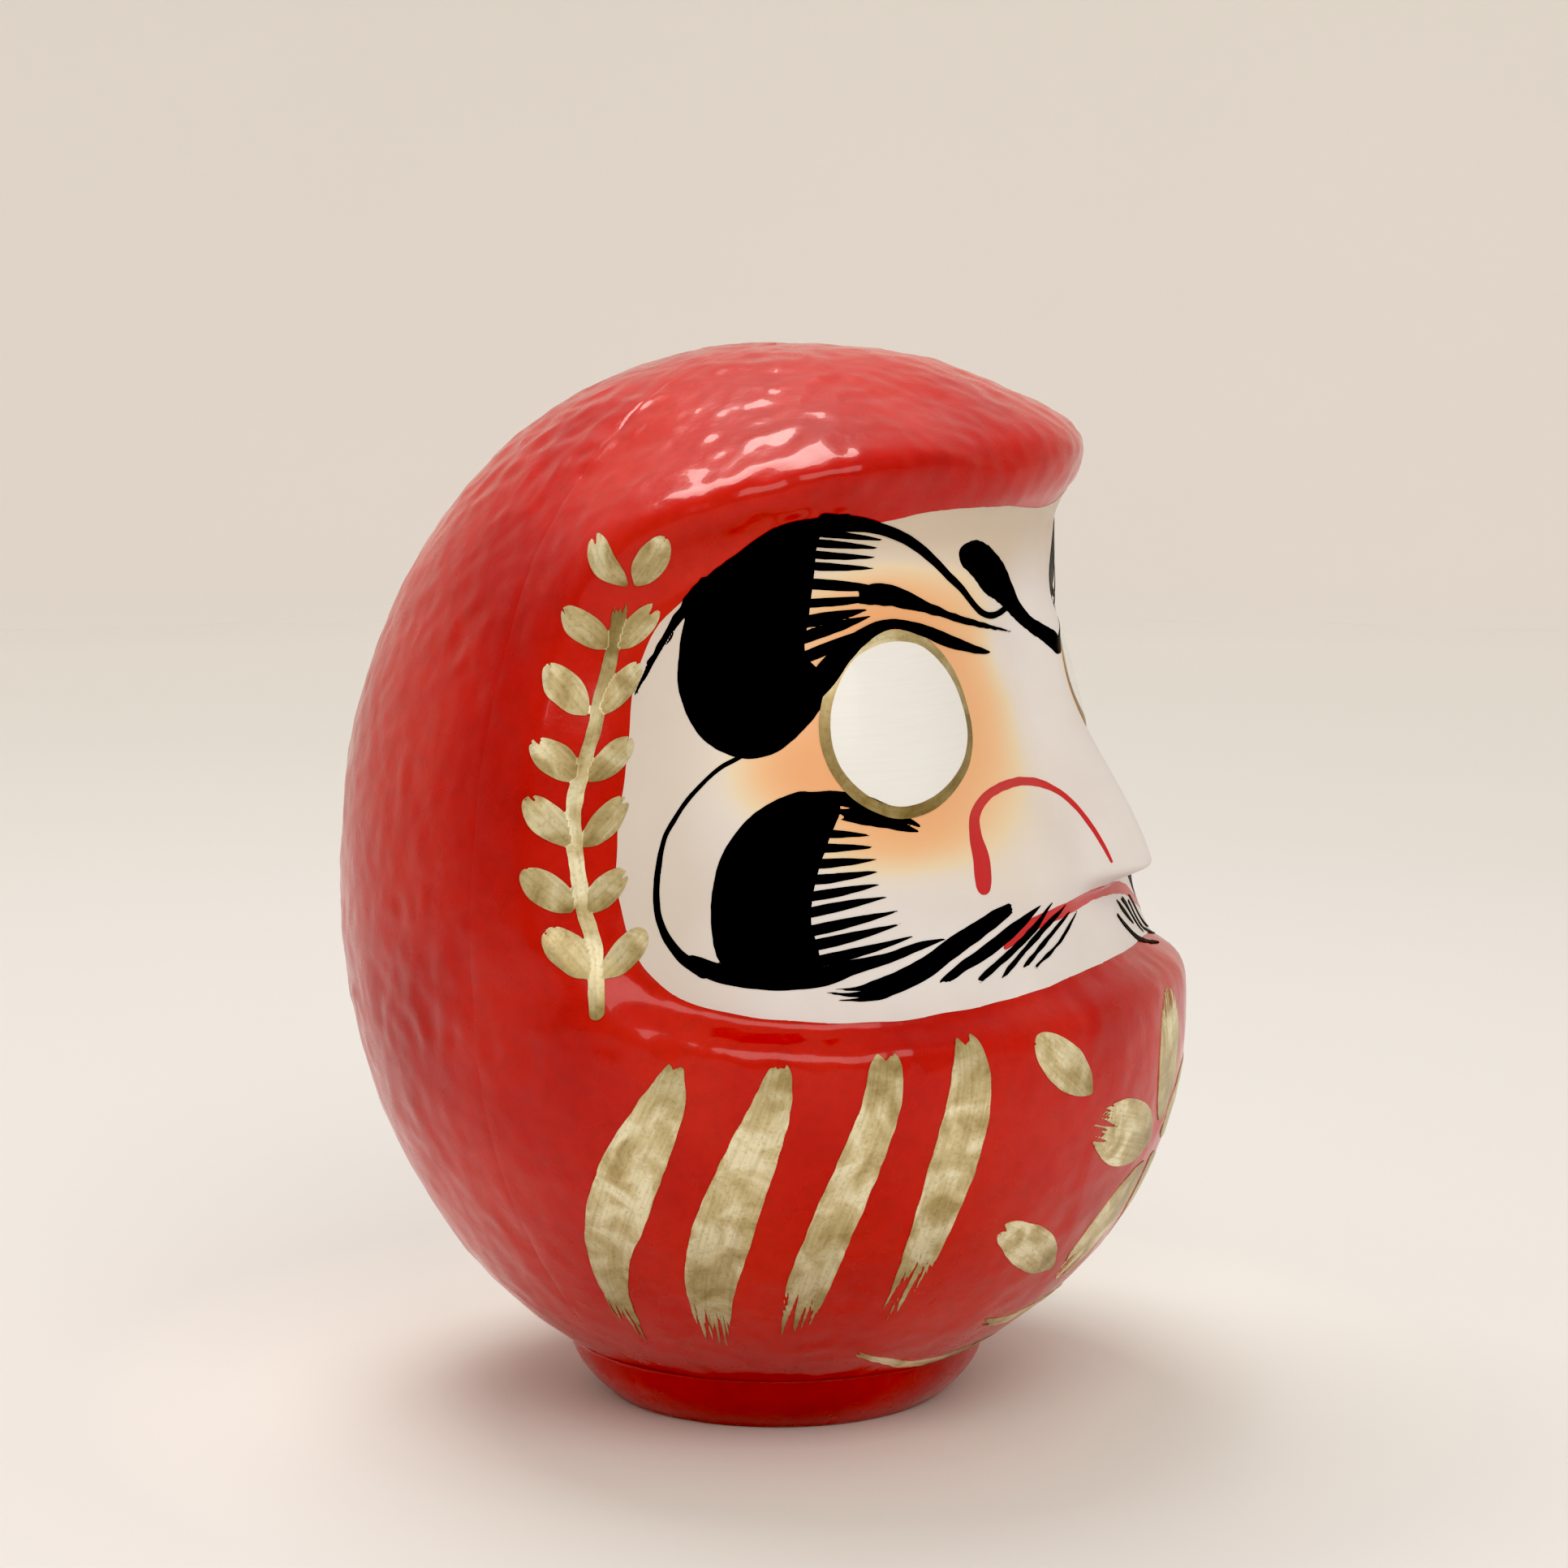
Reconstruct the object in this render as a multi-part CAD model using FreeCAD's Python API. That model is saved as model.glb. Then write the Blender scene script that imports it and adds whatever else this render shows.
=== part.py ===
import FreeCAD, Part
import math
import os

# Daruma doll: a hollow papier-mache figure that rocks upright on a weighted clay foot.
# Millimetres.  +Z is up, the face looks along -Y, and the doll's own right side is -X.
# The origin is the centre of the foot's underside.
#
# A place on the body is given by its azimuth in degrees, measured from the front and
# positive towards +X, and its height above the floor.

# ---- driving dimensions ----
HEIGHT = 300.0
FOOT_HEIGHT = 17.0
FOOT_TOP_RADIUS = 60.3
FOOT_BASE_RADIUS = 48.0
PAPER_THICKNESS = 2.8
PAINT_LAYER = 0.2
CROWN_FLAT_HEIGHT = HEIGHT - 0.08
PARTING_AZIMUTH = 110.0

# Body sections, front, side and back: greatest radius, its height, and the roundness
# of the curve below and above it.
FRONT_SECTION = (117.0, 112.0, 2.03, 2.8)
SIDE_SECTION = (127.0, 142.0, 2.0, 2.15)
BACK_SECTION = (123.5, 148.0, 2.0, 2.12)

# Outlines on the body around the middle of the face: half width in degrees, reach above
# and below, squareness above and below, how far the chin lifts the lower edge and how
# far the brow lowers the upper one.
FACE_MIDDLE = 197.0
HOOD_EDGE = (102.0, 81.0, 76.0, 3.3, 4.8, 7.0, 0.0)
FACE_PAINT_EDGE = (91.5, 64.0, 71.0, 3.4, 5.6, 8.5, 4.0)
CHIN_SPREAD = 45.0
BROW_SPREAD = 20.0

# Softness of the hood's edge: at the sides, under the chin and what the brim adds.
HOOD_EDGE_SOFTNESS = 0.07
LIP_SOFTNESS = 0.50
LIP_HEIGHT = 150.0
LIP_DEPTH = 18.0
BRIM_SOFTNESS = 0.08
BRIM_ROUNDING = 0.07
BRIM_SPREAD = 30.0

# The brim over the face, and the shoulder along the hood's edge beside it: how far each
# swells, how wide it is as a share of the hood's reach, and where it starts.
BRIM_SWELL = 7.5
BRIM_WIDTH = 0.12
BRIM_START = 225.0
BRIM_RISE = 40.0
SHOULDER_SWELL = 16.0
SHOULDER_WIDTH_OUT = 0.16
SHOULDER_WIDTH_IN = 0.5
SHOULDER_START = 215.0
SHOULDER_RISE = 50.0
SHOULDER_AZIMUTHS = (22.0, 62.0, 85.0, 125.0)
SIDE_RECESS = 12.0
LEVEL_HEIGHT = 236.0
LEVEL_SOFTNESS = 6.0

# Radius of the sunk face on the middle line, without the nose, at each height.
FACE_PROFILE = [
    (100, 114), (118, 112), (126, 109), (134, 104.8), (142, 100.8), (150, 98), (158, 96.5),
    (172, 91), (188, 84.5), (206, 78.5), (222, 76), (236, 76.5), (250, 76.5), (257, 79),
    (263, 83), (275, 87), (300, 92),
]

# The nose: a ridge from the brow, half of it only from the tip's top down to its base.
NOSE_SWELL = 14.0
NOSE_BRIDGE_SHARE = 0.5
NOSE_HALF_WIDTH = 17.0
NOSE_NARROWING = 4.5
BRIDGE_TOP = 240.0
BRIDGE_RISE = 18.0
TIP_TOP = 214.0
TIP_LENGTH = 50.0
NOSE_BASE = 151.0
NOSE_UNDERSIDE = 8.0
WING_SWELL = 4.0
WING_PLACE = (19.0, 163.0)
WING_REACH = 13.0
EYE_AZIMUTH = 48.5
EYE_HEIGHT = 205.0
EYE_HALF_AZIMUTH = 13.4
EYE_HALF_HEIGHT = 20.5
EYE_RIM_WIDTH = 3.0
EYE_SWELL = 5.5
EYE_SWELL_PLACE = (50.0, 202.0)
EYE_SWELL_REACH = 26.0

# Brushwork is measured in millimetres: this many along the body per degree of azimuth.
MM_PER_DEGREE = 1.9
SURFACE_ROWS = 96
DEGREES_PER_COLUMN = 2.5


# ---- the body's surface ----
def bell(x):
    return math.exp(-x * x)


def ramp(x):
    x = min(max(x, 0.0), 1.0)
    return x * x * (3 - 2 * x)


def section_radius(z, section):
    """Radius of one section at a height: it meets the foot below and closes at the crown."""
    radius, widest, roundness_below, roundness_above = section
    if z < widest:
        share = (1 - (FOOT_TOP_RADIUS / radius) ** roundness_below) ** (1 / roundness_below)
        depth = (widest - FOOT_HEIGHT) / share
        drop = (widest - z) / depth
        return radius * max(1 - drop ** roundness_below, 0.0) ** (1 / roundness_below)
    rise = (z - widest) / (HEIGHT - widest)
    return radius * max(1 - rise ** roundness_above, 1e-9) ** (1 / roundness_above)


def oval(azimuth, side, front, back):
    """Radius of a plan oval with its own reach to the side, the front and the back."""
    turn = math.radians(azimuth)
    along = front if math.cos(turn) > 0 else back
    return 1 / math.hypot(math.sin(turn) / side, math.cos(turn) / along)


def monotone_curve(points, x):
    """Smooth curve through points that never overshoots between two of them."""
    xs = [p[0] for p in points]
    ys = [p[1] for p in points]
    steps = [(ys[i + 1] - ys[i]) / (xs[i + 1] - xs[i]) for i in range(len(xs) - 1)]
    slopes = [steps[0]]
    for before, after in zip(steps, steps[1:]):
        level = before * after <= 0
        slopes.append(0.0 if level else 2 * before * after / (before + after))
    slopes.append(steps[-1])
    x = min(max(x, xs[0]), xs[-1])
    i = max(k for k in range(len(xs) - 1) if xs[k] <= x)
    span = xs[i + 1] - xs[i]
    t = (x - xs[i]) / span
    ends = ys[i] * (1 + 2 * t) * (1 - t) ** 2 + ys[i + 1] * t * t * (3 - 2 * t)
    return ends + span * (slopes[i] * t * (1 - t) ** 2 - slopes[i + 1] * t * t * (1 - t))


def outline_reach(azimuth, z, outline):
    """1 on an outline, less inside it, more outside."""
    half_azimuth, above, below, square_above, square_below, chin, brow = outline
    if z > FACE_MIDDLE:
        reach, squareness = above - brow * bell(azimuth / BROW_SPREAD), square_above
    else:
        reach, squareness = below - chin * bell(azimuth / CHIN_SPREAD), square_below
    across = abs(azimuth) / half_azimuth
    upward = abs(z - FACE_MIDDLE) / reach
    return (across ** squareness + upward ** squareness) ** (1 / squareness)


def hooded_radius(azimuth, z):
    """The body as if it had no face: a plan oval with the brim and the hood's shoulders."""
    radius = oval(
        azimuth,
        section_radius(z, SIDE_SECTION),
        section_radius(z, FRONT_SECTION),
        section_radius(z, BACK_SECTION),
    )
    past_edge = outline_reach(azimuth, z, HOOD_EDGE) - 1
    forward = ramp((math.cos(math.radians(azimuth)) + 0.1) / 0.9)
    brim = BRIM_SWELL * bell(past_edge / BRIM_WIDTH) * ramp((z - BRIM_START) / BRIM_RISE) * forward
    start, full, fade, end = SHOULDER_AZIMUTHS
    side = abs(azimuth)
    sideways = ramp((side - start) / (full - start)) * (1 - ramp((side - fade) / (end - fade)))
    width = SHOULDER_WIDTH_OUT if past_edge > 0 else SHOULDER_WIDTH_IN
    shoulder = SHOULDER_SWELL * bell(past_edge / width) * sideways
    return radius + brim + shoulder * ramp((z - SHOULDER_START) / SHOULDER_RISE)


def face_radius(azimuth, z):
    """The sunk face: flatter than the body, and level under the brim."""
    past_level = math.log1p(math.exp((z - LEVEL_HEIGHT) / LEVEL_SOFTNESS))
    held_height = z - LEVEL_SOFTNESS * past_level
    side = section_radius(held_height, SIDE_SECTION) - SIDE_RECESS
    return oval(azimuth, side, monotone_curve(FACE_PROFILE, z), BACK_SECTION[0])


def sunk_share(azimuth, z):
    """0 outside the hood's edge, rising to 1 where the white face begins."""
    hood = outline_reach(azimuth, z, HOOD_EDGE)
    paint = outline_reach(azimuth, z, FACE_PAINT_EDGE)
    share = (1 - hood) / max(paint - hood, 1e-3)
    under_lip = ramp((LIP_HEIGHT - z) / LIP_DEPTH)
    softness = HOOD_EDGE_SOFTNESS + (LIP_SOFTNESS - HOOD_EDGE_SOFTNESS) * under_lip
    at_brim = BRIM_SOFTNESS + BRIM_ROUNDING * bell(azimuth / BRIM_SPREAD)
    softness += at_brim * ramp((z - BRIM_START) / BRIM_RISE)
    share = min((share + math.hypot(share, softness)) / 2, 1.0)
    return share * (2 - share)


def features(azimuth, z, radius):
    """Nose, nostril wings and the bulges under the eyes."""
    tip = ramp((TIP_TOP - z) / TIP_LENGTH)
    bridge = ramp((BRIDGE_TOP - z) / BRIDGE_RISE)
    half_width = NOSE_HALF_WIDTH - NOSE_NARROWING * (1 - tip)
    ridge = bell(radius * math.sin(math.radians(azimuth)) / half_width)
    ridge *= ramp((z - NOSE_BASE) / NOSE_UNDERSIDE)
    nose = NOSE_SWELL * ridge * (NOSE_BRIDGE_SHARE * bridge + (1 - NOSE_BRIDGE_SHARE) * tip)
    side = abs(azimuth)
    wing_azimuth, wing_height = WING_PLACE
    from_wing = math.hypot((side - wing_azimuth) * MM_PER_DEGREE, z - wing_height)
    eye_azimuth, eye_height = EYE_SWELL_PLACE
    from_eye = math.hypot((side - eye_azimuth) * MM_PER_DEGREE, z - eye_height)
    wing = WING_SWELL * bell(from_wing / WING_REACH)
    return nose + wing + EYE_SWELL * math.exp(-((from_eye / EYE_SWELL_REACH) ** 3))


def radius_at(azimuth, z):
    body = hooded_radius(azimuth, z)
    sunk = sunk_share(azimuth, z)
    face = min(face_radius(azimuth, z), body)
    radius = body * (1 - sunk) + face * sunk
    return radius + features(azimuth, z, radius) * sunk


def polar(azimuth, radius, z):
    turn = math.radians(azimuth)
    return FreeCAD.Vector(radius * math.sin(turn), -radius * math.cos(turn), z)


def body_point(azimuth, z, outward=0.0):
    """Point of the body's surface, moved out along its normal."""
    here = polar(azimuth, radius_at(azimuth, z), z)
    if outward == 0:
        return here
    around = polar(azimuth + 0.2, radius_at(azimuth + 0.2, z), z) - here
    below = polar(azimuth, radius_at(azimuth, z - 0.2), z - 0.2)
    normal = around.cross(here - below)
    return here + normal.normalize() * outward


# ---- solids from grids of points ----
def spline_through(points):
    """Cubic spline through evenly counted points, so that equal counts share their knots."""
    curve = Part.BSplineCurve()
    last = len(points) - 1
    curve.interpolate(Points=points, Parameters=[k / last for k in range(last + 1)])
    return curve


def surface_through(grid):
    """Spline surface through a grid: first along its rows, then across them."""
    row_curves = [spline_through(row) for row in grid]
    pole_rows = [curve.getPoles() for curve in row_curves]
    column_curves = [spline_through(list(column)) for column in zip(*pole_rows)]
    pole_columns = [curve.getPoles() for curve in column_curves]
    across = column_curves[0]
    along = row_curves[0]
    surface = Part.BSplineSurface()
    surface.buildFromPolesMultsKnots(
        [list(row) for row in zip(*pole_columns)],
        across.getMultiplicities(),
        along.getMultiplicities(),
        across.getKnots(),
        along.getKnots(),
        False,
        False,
        across.Degree,
        along.Degree,
    )
    return surface


def border_curves(surface):
    first_u, last_u, first_v, last_v = surface.bounds()
    return [
        surface.uIso(first_u).toShape(),
        surface.uIso(last_u).toShape(),
        surface.vIso(first_v).toShape(),
        surface.vIso(last_v).toShape(),
    ]


def closed_solid(faces):
    shell = Part.makeShell(faces)
    shell.sewShape()
    solid = Part.Solid(Part.Shell(shell.Faces))
    if solid.Volume < 0:
        solid.reverse()
    return solid


def slab(low_grid, high_grid):
    """Solid between two grids of points of the same size, with ruled sides."""
    low = surface_through(low_grid)
    high = surface_through(high_grid)
    faces = [low.toShape(), high.toShape()]
    for low_edge, high_edge in zip(border_curves(low), border_curves(high)):
        faces.append(Part.makeRuledSurface(low_edge, high_edge))
    return closed_solid(faces)


def film(places, layer=0):
    """A coat of paint over a grid of (azimuth, height) places, on top of earlier layers."""
    base = layer * PAINT_LAYER
    low = [[body_point(a, z, base) for a, z in row] for row in places]
    high = [[body_point(a, z, base + PAINT_LAYER) for a, z in row] for row in places]
    return slab(low, high)


def along_curve(points, t):
    """Catmull-Rom curve through points of any dimension, t from 0 to 1."""
    spans = len(points) - 1
    i = min(int(t * spans), spans - 1)
    s = t * spans - i
    p0 = points[max(i - 1, 0)]
    p1 = points[i]
    p2 = points[i + 1]
    p3 = points[min(i + 2, spans)]
    result = []
    for a, b, c, d in zip(p0, p1, p2, p3):
        lift = 2 * a - 5 * b + 4 * c - d
        twist = 3 * b - a - 3 * c + d
        result.append(0.5 * (2 * b + (c - a) * s + lift * s * s + twist * s ** 3))
    return result


def stroke(points, layer=1, side=1, steps_per_span=4):
    """Brush stroke: (azimuth, height, half width in mm) along its middle line."""
    steps = (len(points) - 1) * steps_per_span
    rows = []
    for k in range(steps + 1):
        t = k / steps
        azimuth, z, half_width = along_curve(points, t)
        ahead = along_curve(points, min(t + 0.01, 1.0))
        behind = along_curve(points, max(t - 0.01, 0.0))
        run = (ahead[0] - behind[0]) * MM_PER_DEGREE
        rise = ahead[1] - behind[1]
        length = math.hypot(run, rise)
        half_width = max(half_width, 0.25)
        row = []
        for share in (-1.0, 0.0, 1.0):
            offset = share * half_width
            across = azimuth - offset * rise / length / MM_PER_DEGREE
            row.append((side * across, z + offset * run / length))
        rows.append(row)
    return film(rows, layer)


def group(solids):
    return solids[0] if len(solids) == 1 else Part.makeCompound(solids)


# ---- papier-mache body ----
def surface_heights():
    heights = []
    for k in range(SURFACE_ROWS + 1):
        u = k / SURFACE_ROWS
        rise = math.sin(u * math.asin((CROWN_FLAT_HEIGHT - FOOT_HEIGHT) / (HEIGHT - FOOT_HEIGHT)))
        heights.append(FOOT_HEIGHT + (HEIGHT - FOOT_HEIGHT) * rise)
    return heights


def wall_bottom_point(azimuth):
    """Inner corner of the wall where it stands on the foot."""
    slope = radius_at(azimuth, FOOT_HEIGHT + 0.5) - radius_at(azimuth, FOOT_HEIGHT)
    width = PAPER_THICKNESS * math.hypot(1.0, slope / 0.5)
    return polar(azimuth, FOOT_TOP_RADIUS - width, FOOT_HEIGHT)


def inner_wall_point(azimuth, z):
    point = body_point(azimuth, z, -PAPER_THICKNESS)
    return polar(azimuth, math.hypot(point.x, point.y), point.z)


def half_body(first_azimuth, last_azimuth):
    """One moulded half of the hollow body, between two parting faces through the axis."""
    columns = round((last_azimuth - first_azimuth) / DEGREES_PER_COLUMN)
    azimuths = [
        first_azimuth + (last_azimuth - first_azimuth) * k / columns for k in range(columns + 1)
    ]
    heights = surface_heights()
    outer_grid = [[body_point(a, z) for a in azimuths] for z in heights]
    inner_grid = [[wall_bottom_point(a) for a in azimuths]]
    inner_grid += [[inner_wall_point(a, z) for a in azimuths] for z in heights[:-1]]
    inner_crown = CROWN_FLAT_HEIGHT - PAPER_THICKNESS
    crown_radii = [math.hypot(p.x, p.y) for p in outer_grid[-1]]
    inner_grid.append([polar(a, r, inner_crown) for a, r in zip(azimuths, crown_radii)])

    outer = surface_through(outer_grid)
    inner = surface_through(inner_grid)
    outer_foot, outer_crown, outer_first, outer_last = border_curves(outer)
    inner_foot, inner_top, inner_first, inner_last = border_curves(inner)
    axis_top = FreeCAD.Vector(0, 0, CROWN_FLAT_HEIGHT)
    axis_inside = FreeCAD.Vector(0, 0, inner_crown)
    foot_lines = []
    caps = {}
    for column in (0, -1):
        foot_lines.append(Part.makeLine(outer_grid[0][column], inner_grid[0][column]))
        caps[column] = (
            Part.makeLine(outer_grid[-1][column], axis_top),
            Part.makeLine(inner_grid[-1][column], axis_inside),
        )
    axis_line = Part.makeLine(axis_top, axis_inside)

    faces = [outer.toShape(), inner.toShape()]
    faces.append(flat_face([outer_foot, foot_lines[0], inner_foot, foot_lines[1]]))
    faces.append(flat_face([outer_crown, caps[0][0], caps[-1][0]]))
    faces.append(flat_face([inner_top, caps[0][1], caps[-1][1]]))
    faces.append(
        flat_face([outer_first, foot_lines[0], inner_first, caps[0][1], axis_line, caps[0][0]])
    )
    faces.append(
        flat_face([outer_last, foot_lines[1], inner_last, caps[-1][1], axis_line, caps[-1][0]])
    )
    return closed_solid(faces)


def flat_face(edges):
    return Part.Face(Part.Wire(Part.__sortEdges__(edges)))


STRIP_THICKNESS = 0.8
STRIP_GAP = 0.1
PATCH_GAP = 0.3


def seam_strip(side):
    """Paper strip glued inside over one parting line."""
    half_width = 6.0
    bottom, top, rows = 30.0, 283.0, 22
    heights = [bottom + (top - bottom) * k / rows for k in range(rows + 1)]
    azimuths = [side * PARTING_AZIMUTH + half_width * share for share in (-1, -0.5, 0, 0.5, 1)]
    outside = -PAPER_THICKNESS - STRIP_GAP
    inside = outside - STRIP_THICKNESS
    low = [[body_point(a, z, inside) for a in azimuths] for z in heights]
    high = [[body_point(a, z, outside) for a in azimuths] for z in heights]
    return slab(low, high)


def height_over(x, y):
    """Height of the body's surface above a plan point near the crown."""
    azimuth = math.degrees(math.atan2(x, -y))
    target = math.hypot(x, y)
    low, high = 200.0, HEIGHT
    for _ in range(40):
        middle = (low + high) / 2
        if radius_at(azimuth, middle) > target:
            low = middle
        else:
            high = middle
    return low


def crown_patch():
    """Square paper patch glued inside the crown, where the two parting lines meet."""
    half_side = 24.0
    slanted_wall = PAPER_THICKNESS * 1.04
    marks = [half_side * k / 4 for k in range(-4, 5)]
    high = []
    low = []
    for x in marks:
        tops = [height_over(x, y) - slanted_wall - PATCH_GAP for y in marks]
        high.append([FreeCAD.Vector(x, y, top) for y, top in zip(marks, tops)])
        low.append([FreeCAD.Vector(x, y, top - STRIP_THICKNESS) for y, top in zip(marks, tops)])
    return slab(low, high)


# ---- foot ----
CLAY_LEDGE_HEIGHT = 6.0
CLAY_RADIUS = 50.0
BASE_BORE_RADIUS = 44.0
BASE_PAPER_THICKNESS = 0.8
CLAY_TOP_HEIGHT = 26.0
CLAY_RIM_HEIGHT = 18.0
CLAY_FLAT_RADIUS = 8.0


def turned(edges):
    """Solid turned about the doll's axis from a closed section in the X-Z plane."""
    face = flat_face(edges)
    solid = face.revolve(FreeCAD.Vector(0, 0, 0), FreeCAD.Vector(0, 0, 1), 360)
    if solid.Volume < 0:
        solid.reverse()
    return solid


def path(points):
    corners = [FreeCAD.Vector(r, 0, z) for r, z in points]
    return [Part.makeLine(a, b) for a, b in zip(corners, corners[1:])]


def foot_ring():
    flank = [
        (FOOT_BASE_RADIUS, 0), (50.5, 1.5), (53.3, 4), (56, 7), (58.6, 11), (60, 15),
        (FOOT_TOP_RADIUS, FOOT_HEIGHT),
    ]
    curve = Part.BSplineCurve()
    curve.interpolate([FreeCAD.Vector(r, 0, z) for r, z in flank])
    inside = [
        (FOOT_TOP_RADIUS, FOOT_HEIGHT), (CLAY_RADIUS, FOOT_HEIGHT), (CLAY_RADIUS, CLAY_LEDGE_HEIGHT),
        (BASE_BORE_RADIUS, CLAY_LEDGE_HEIGHT), (BASE_BORE_RADIUS, 0), (FOOT_BASE_RADIUS, 0),
    ]
    return turned([curve.toShape()] + path(inside))


def clay_weight():
    crown = Part.Arc(
        FreeCAD.Vector(CLAY_RADIUS, 0, CLAY_RIM_HEIGHT),
        FreeCAD.Vector(CLAY_RADIUS * 0.55, 0, CLAY_TOP_HEIGHT - 1.8),
        FreeCAD.Vector(CLAY_FLAT_RADIUS, 0, CLAY_TOP_HEIGHT),
    )
    outline = [
        (CLAY_FLAT_RADIUS, CLAY_TOP_HEIGHT), (0, CLAY_TOP_HEIGHT), (0, BASE_PAPER_THICKNESS),
        (BASE_BORE_RADIUS, BASE_PAPER_THICKNESS), (BASE_BORE_RADIUS, CLAY_LEDGE_HEIGHT),
        (CLAY_RADIUS, CLAY_LEDGE_HEIGHT),
        (CLAY_RADIUS, CLAY_RIM_HEIGHT),
    ]
    return turned([crown.toShape()] + path(outline))


def bottom_paper():
    return Part.makeCylinder(BASE_BORE_RADIUS, BASE_PAPER_THICKNESS)


# ---- painted face ----
def face_paint():
    """White ground of the face, from its lower edge to its upper edge at each azimuth."""
    half_azimuth, above, below, square_above, square_below, chin, brow = FACE_PAINT_EDGE
    half_columns = 24
    rows = 26
    side_limit = 0.985
    columns = []
    for k in range(-half_columns, half_columns + 1):
        share = side_limit * math.sin(k / half_columns * math.pi / 2)
        azimuth = share * half_azimuth
        reach_above = above - brow * bell(azimuth / BROW_SPREAD)
        reach_below = below - chin * bell(azimuth / CHIN_SPREAD)
        top = FACE_MIDDLE + reach_above * (1 - abs(share) ** square_above) ** (1 / square_above)
        bottom = FACE_MIDDLE - reach_below * (1 - abs(share) ** square_below) ** (1 / square_below)
        columns.append([(azimuth, bottom + (top - bottom) * r / rows) for r in range(rows + 1)])
    return film(columns, layer=0)


def eye_white(side):
    rows = []
    steps = 16
    for k in range(steps + 1):
        turn = math.radians(172 * k / steps - 86)
        half_width = EYE_HALF_AZIMUTH * math.cos(turn)
        z = EYE_HEIGHT + EYE_HALF_HEIGHT * math.sin(turn)
        rows.append([(side * EYE_AZIMUTH + half_width * s, z) for s in (-1, -0.5, 0, 0.5, 1)])
    return film(rows, layer=1)


def eye_rim(side):
    """Gold ring around the eye, brushed in one turn with its ends a hair apart."""
    inner_gap = 0.3
    rows = []
    steps = 36
    for k in range(steps + 1):
        turn = math.radians(359.6 * k / steps - 89.8)
        row = []
        for reach in (inner_gap, inner_gap + EYE_RIM_WIDTH / 2, inner_gap + EYE_RIM_WIDTH):
            half_azimuth = EYE_HALF_AZIMUTH + reach / MM_PER_DEGREE
            azimuth = side * (EYE_AZIMUTH + half_azimuth * math.cos(turn))
            row.append((azimuth, EYE_HEIGHT + (EYE_HALF_HEIGHT + reach) * math.sin(turn)))
        rows.append(row)
    return film(rows, layer=1)


# Brush strokes of one half of the face: (azimuth, height, half width) along each stroke.
EYEBROW = [
    (62, 258, 2), (69, 252, 9.5), (73.5, 241, 17), (75, 227, 18.5), (74, 213, 15.5),
    (74, 203, 9), (75, 198.5, 2),
]
BROW_CURL = [
    (57.5, 260.3, 0.6), (50, 256.7, 1.3), (40.7, 247, 1.2), (31, 235, 1.1), (22.7, 229.8, 1),
    (17.7, 230.4, 0.7),
]
EYELID_STROKE = [
    (62.5, 217.5, 2.2), (57.8, 225.3, 2.2), (48.5, 230.9, 1.5), (39, 227.7, 1.2), (23.5, 219.9, 0.3),
]
BROW_STROKE = [(55, 238.7, 2.2), (46, 236.7, 1.9), (34, 230.2, 1.2), (14.5, 224.6, 0.3)]
FOREHEAD_MARK = [
    (28, 248, 2.8), (23, 244.5, 4), (18.5, 240, 3.4), (12, 228.5, 1.3), (1, 215.5, 0.5),
]
CHEEK_LINE = [
    (77, 196, 0.5), (81.2, 189.6, 0.6), (85.1, 176.9, 0.6), (85.9, 162.2, 0.8), (84.4, 151.6, 1),
    (80.2, 143.6, 1.4),
]
BEARD = [
    (62, 188.6, 1.5), (67, 184, 6), (71, 173, 11), (72, 159, 12), (71, 148, 11.5),
    (69.5, 141, 5), (68, 138, 1.5),
]
MOUSTACHE = [(57, 136.3, 2.4), (50, 139.4, 2.7), (43, 146, 2.6), (33, 152.6, 2)]
NOSTRIL_LINE = [
    (37, 160.5, 3.2), (38.6, 171, 2.7), (35, 183, 1.2), (24.7, 186, 1.1), (13.6, 183.2, 1),
    (9.1, 175, 0.8), (7.6, 162, 0.6),
]
MOUTH_LINE = [
    (-34, 144.4, 1.2), (-27.4, 148.1, 1.6), (-18.5, 150.3, 1.5), (-9, 151.2, 1.3), (0, 151.4, 1.2),
    (9, 151.2, 1.3), (18.5, 150.3, 1.5), (27.4, 148.1, 1.6), (34, 144.4, 1.2),
]


# Hairs from the straight inner edge of the eyebrow and of the beard: height of the root,
# azimuth and height of the tip, half width.
BROW_ROOT_AZIMUTH = 63.6
BROW_HAIRS = [
    (255.4, 50.5, 253, 1), (252.3, 51.4, 250.4, 1), (249.2, 52, 247.8, 1), (246.1, 52.6, 245, 1),
    (241.9, 49, 240.2, 1.2), (237.1, 50, 237.2, 1.1), (232.4, 54, 234.2, 1.3),
    (228.4, 53.6, 231.6, 1.3), (223.6, 52, 228.6, 1.3),
]
BEARD_ROOT_AZIMUTH = 64.3
BEARD_HAIRS = [
    (178.6, 56.2, 177.2, 1.2), (174.6, 55.8, 174, 1.2), (170.6, 55.5, 170.8, 1.2),
    (166.4, 55, 167.7, 1.3), (162, 54.8, 164.4, 1.3), (157.8, 54, 161, 1.3),
    (152.9, 52.6, 157, 1.3), (149, 52.2, 153.6, 1.3), (144.6, 50.3, 150, 1.3),
]
# Whiskers: azimuth and height of the outer end, of the middle and of the inner end.
WHISKERS = [
    [(43.5, 138.8, 0.5), (36.6, 146, 0.9), (28.5, 153.2, 0.3)],
    [(38.7, 138.6, 0.5), (32.4, 146, 0.9), (24.9, 153.4, 0.3)],
    [(33.9, 138.4, 0.5), (28.2, 146, 0.9), (21.3, 153.6, 0.3)],
    [(29.1, 138.2, 0.5), (24, 146, 0.9), (17.7, 153.8, 0.3)],
]


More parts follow.
